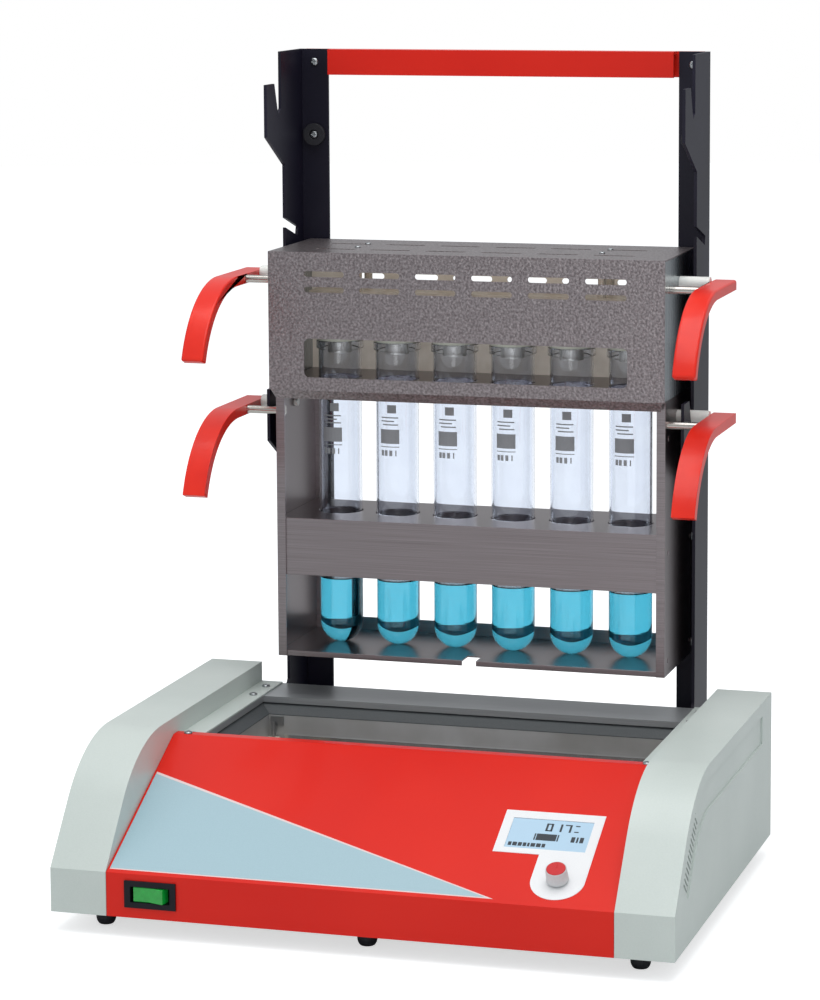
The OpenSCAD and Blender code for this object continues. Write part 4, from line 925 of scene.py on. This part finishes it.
# Rings close to both ends of the straight wall keep its shading straight
profile += [(inner_mm, dome_mm + 0.6), (inner_mm, surface_mm - 0.9), (inner_mm, surface_mm - 0.3),
            (inner_mm - 0.1, surface_mm), (inner_mm - 0.5, surface_mm - 0.8),
            (inner_mm - 1.5, surface_mm - 1.6), (inner_mm - 4, surface_mm - 2.0),
            (inner_mm - 6, surface_mm - 2.1), (0, surface_mm - 2.1)]
drop = turned(profile, 64, "liquid_drop")
liquid_bm = bmesh.new()
for middle in tube_mid:
    start = len(liquid_bm.verts)
    liquid_bm.from_mesh(drop)
    liquid_bm.verts.ensure_lookup_table()
    bmesh.ops.translate(liquid_bm, verts=liquid_bm.verts[start:], vec=(middle.x, middle.y, tube_low.z))
liquid_mesh = bpy.data.meshes.new("sample_liquid")
liquid_bm.to_mesh(liquid_mesh)
liquid_bm.free()
liquid_mesh.materials.append(solution)
as_piece(liquid_mesh, "sample_liquid", "rack", ["sample_liquids"])


# ---- Hood ----
# Front, top and rear are one sheet of steel with a hammered finish, dimples about
# 2 mm across; the side sheets are smooth stainless steel, screwed in.
hammered, tree, shader, place = new_finish("hammered_finish_steel", Metallic=0.85, Roughness=0.34)
pits = add(tree, "ShaderNodeTexVoronoi", {"Vector": place, "Scale": 480.0}, feature="SMOOTH_F1")
wave = add(tree, "ShaderNodeTexNoise", {"Vector": place, "Scale": 420.0, "Detail": 3.0})
relief = add(tree, "ShaderNodeMath", {0: pits.outputs["Distance"], 1: wave.outputs[0]}, operation="ADD")
tone = add(tree, "ShaderNodeValToRGB", {0: wave.outputs[0]})
tone.color_ramp.elements[0].position = 0.35
tone.color_ramp.elements[0].color = linear("#787072")
tone.color_ramp.elements[1].position = 0.7
tone.color_ramp.elements[1].color = linear("#A69EA0")
tree.links.new(tone.outputs[0], shader.inputs["Base Color"])
tree.links.new(add(tree, "ShaderNodeBump", {
    "Height": relief.outputs[0], "Strength": 0.45, "Distance": 0.0007}).outputs[0],
    shader.inputs["Normal"])
wrap = soften("hood_wrap", hammered, 0.6)
# The sheet's inner face is smooth and bare, and throws the light about in the hood. A
# faint glow stands for the light that comes in from behind.
bare_steel, tree, shader, place = new_finish("bare_inner_steel", Metallic=0.3, Roughness=0.45)
stain = add(tree, "ShaderNodeTexNoise", {"Vector": place, "Scale": 45.0, "Detail": 3.0})
tone = add(tree, "ShaderNodeValToRGB", {0: stain.outputs[0]})
tone.color_ramp.elements[0].position = 0.3
tone.color_ramp.elements[0].color = linear("#CFC6BB")
tone.color_ramp.elements[1].position = 0.7
tone.color_ramp.elements[1].color = linear("#E6DED4")
tree.links.new(tone.outputs[0], shader.inputs["Base Color"])
tree.links.new(tone.outputs[0], shader.inputs["Emission Color"])
shader.inputs["Emission Strength"].default_value = 0.18
wrap.data.materials.append(bare_steel)
wrap_low, wrap_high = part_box("hood_wrap")
skin, hem = 1.5 * MM, 11 * MM
wrap_mid = (wrap_low + wrap_high) / 2
for f in wrap.data.polygons:
    below_top = wrap_low.z + hem < f.center.z < wrap_high.z - skin / 2
    inward = (f.center.y - wrap_mid.y) * f.normal.y < 0 and abs(f.normal.y) > 0.9
    if below_top and (f.normal.z < -0.9 or inward):
        f.material_index = 1

side_steel, tree, shader, place = new_finish("smooth_stainless_sheet", Metallic=1.0)
grain = add(tree, "ShaderNodeTexNoise", {"Vector": add(tree, "ShaderNodeMapping", {
    "Vector": place, "Scale": (1500.0, 1500.0, 10.0)}).outputs[0], "Scale": 1.0, "Detail": 3.0})
tone = add(tree, "ShaderNodeValToRGB", {0: grain.outputs[0]})
tone.color_ramp.elements[0].color = linear("#8D949A")
tone.color_ramp.elements[1].color = linear("#A9B0B5")
tree.links.new(tone.outputs[0], shader.inputs["Base Color"])
tree.links.new(add(tree, "ShaderNodeMapRange", {
    "Value": grain.outputs[0], "To Min": 0.2, "To Max": 0.34}).outputs[0], shader.inputs["Roughness"])
for name in ("hood_left_side", "hood_right_side"):
    soften(name, side_steel, 0.3)

duct_steel, tree, shader, place = new_finish("dull_duct_steel", Metallic=0.4, Roughness=0.4)
stain = add(tree, "ShaderNodeTexNoise", {"Vector": place, "Scale": 60.0, "Detail": 4.0})
tone = add(tree, "ShaderNodeValToRGB", {0: stain.outputs[0]})
tone.color_ramp.elements[0].position = 0.3
tone.color_ramp.elements[0].color = linear("#CFC9C0")
tone.color_ramp.elements[1].position = 0.7
tone.color_ramp.elements[1].color = linear("#E9E4DC")
tree.links.new(tone.outputs[0], shader.inputs["Base Color"])
soften("exhaust_manifold", duct_steel, 0.4)
put_on("manifold_studs", duct_steel)

ring_plastic, tree, shader, place = new_finish("white_ptfe_ring", Roughness=0.45)
cloud = add(tree, "ShaderNodeTexNoise", {"Vector": place, "Scale": 250.0, "Detail": 2.0})
tone = add(tree, "ShaderNodeValToRGB", {0: cloud.outputs[0]})
tone.color_ramp.elements[0].color = linear("#D0D6CC")
tone.color_ramp.elements[1].color = linear("#E4E8E0")
tree.links.new(tone.outputs[0], shader.inputs["Base Color"])
soften("tube_seals", ring_plastic, 0.5)
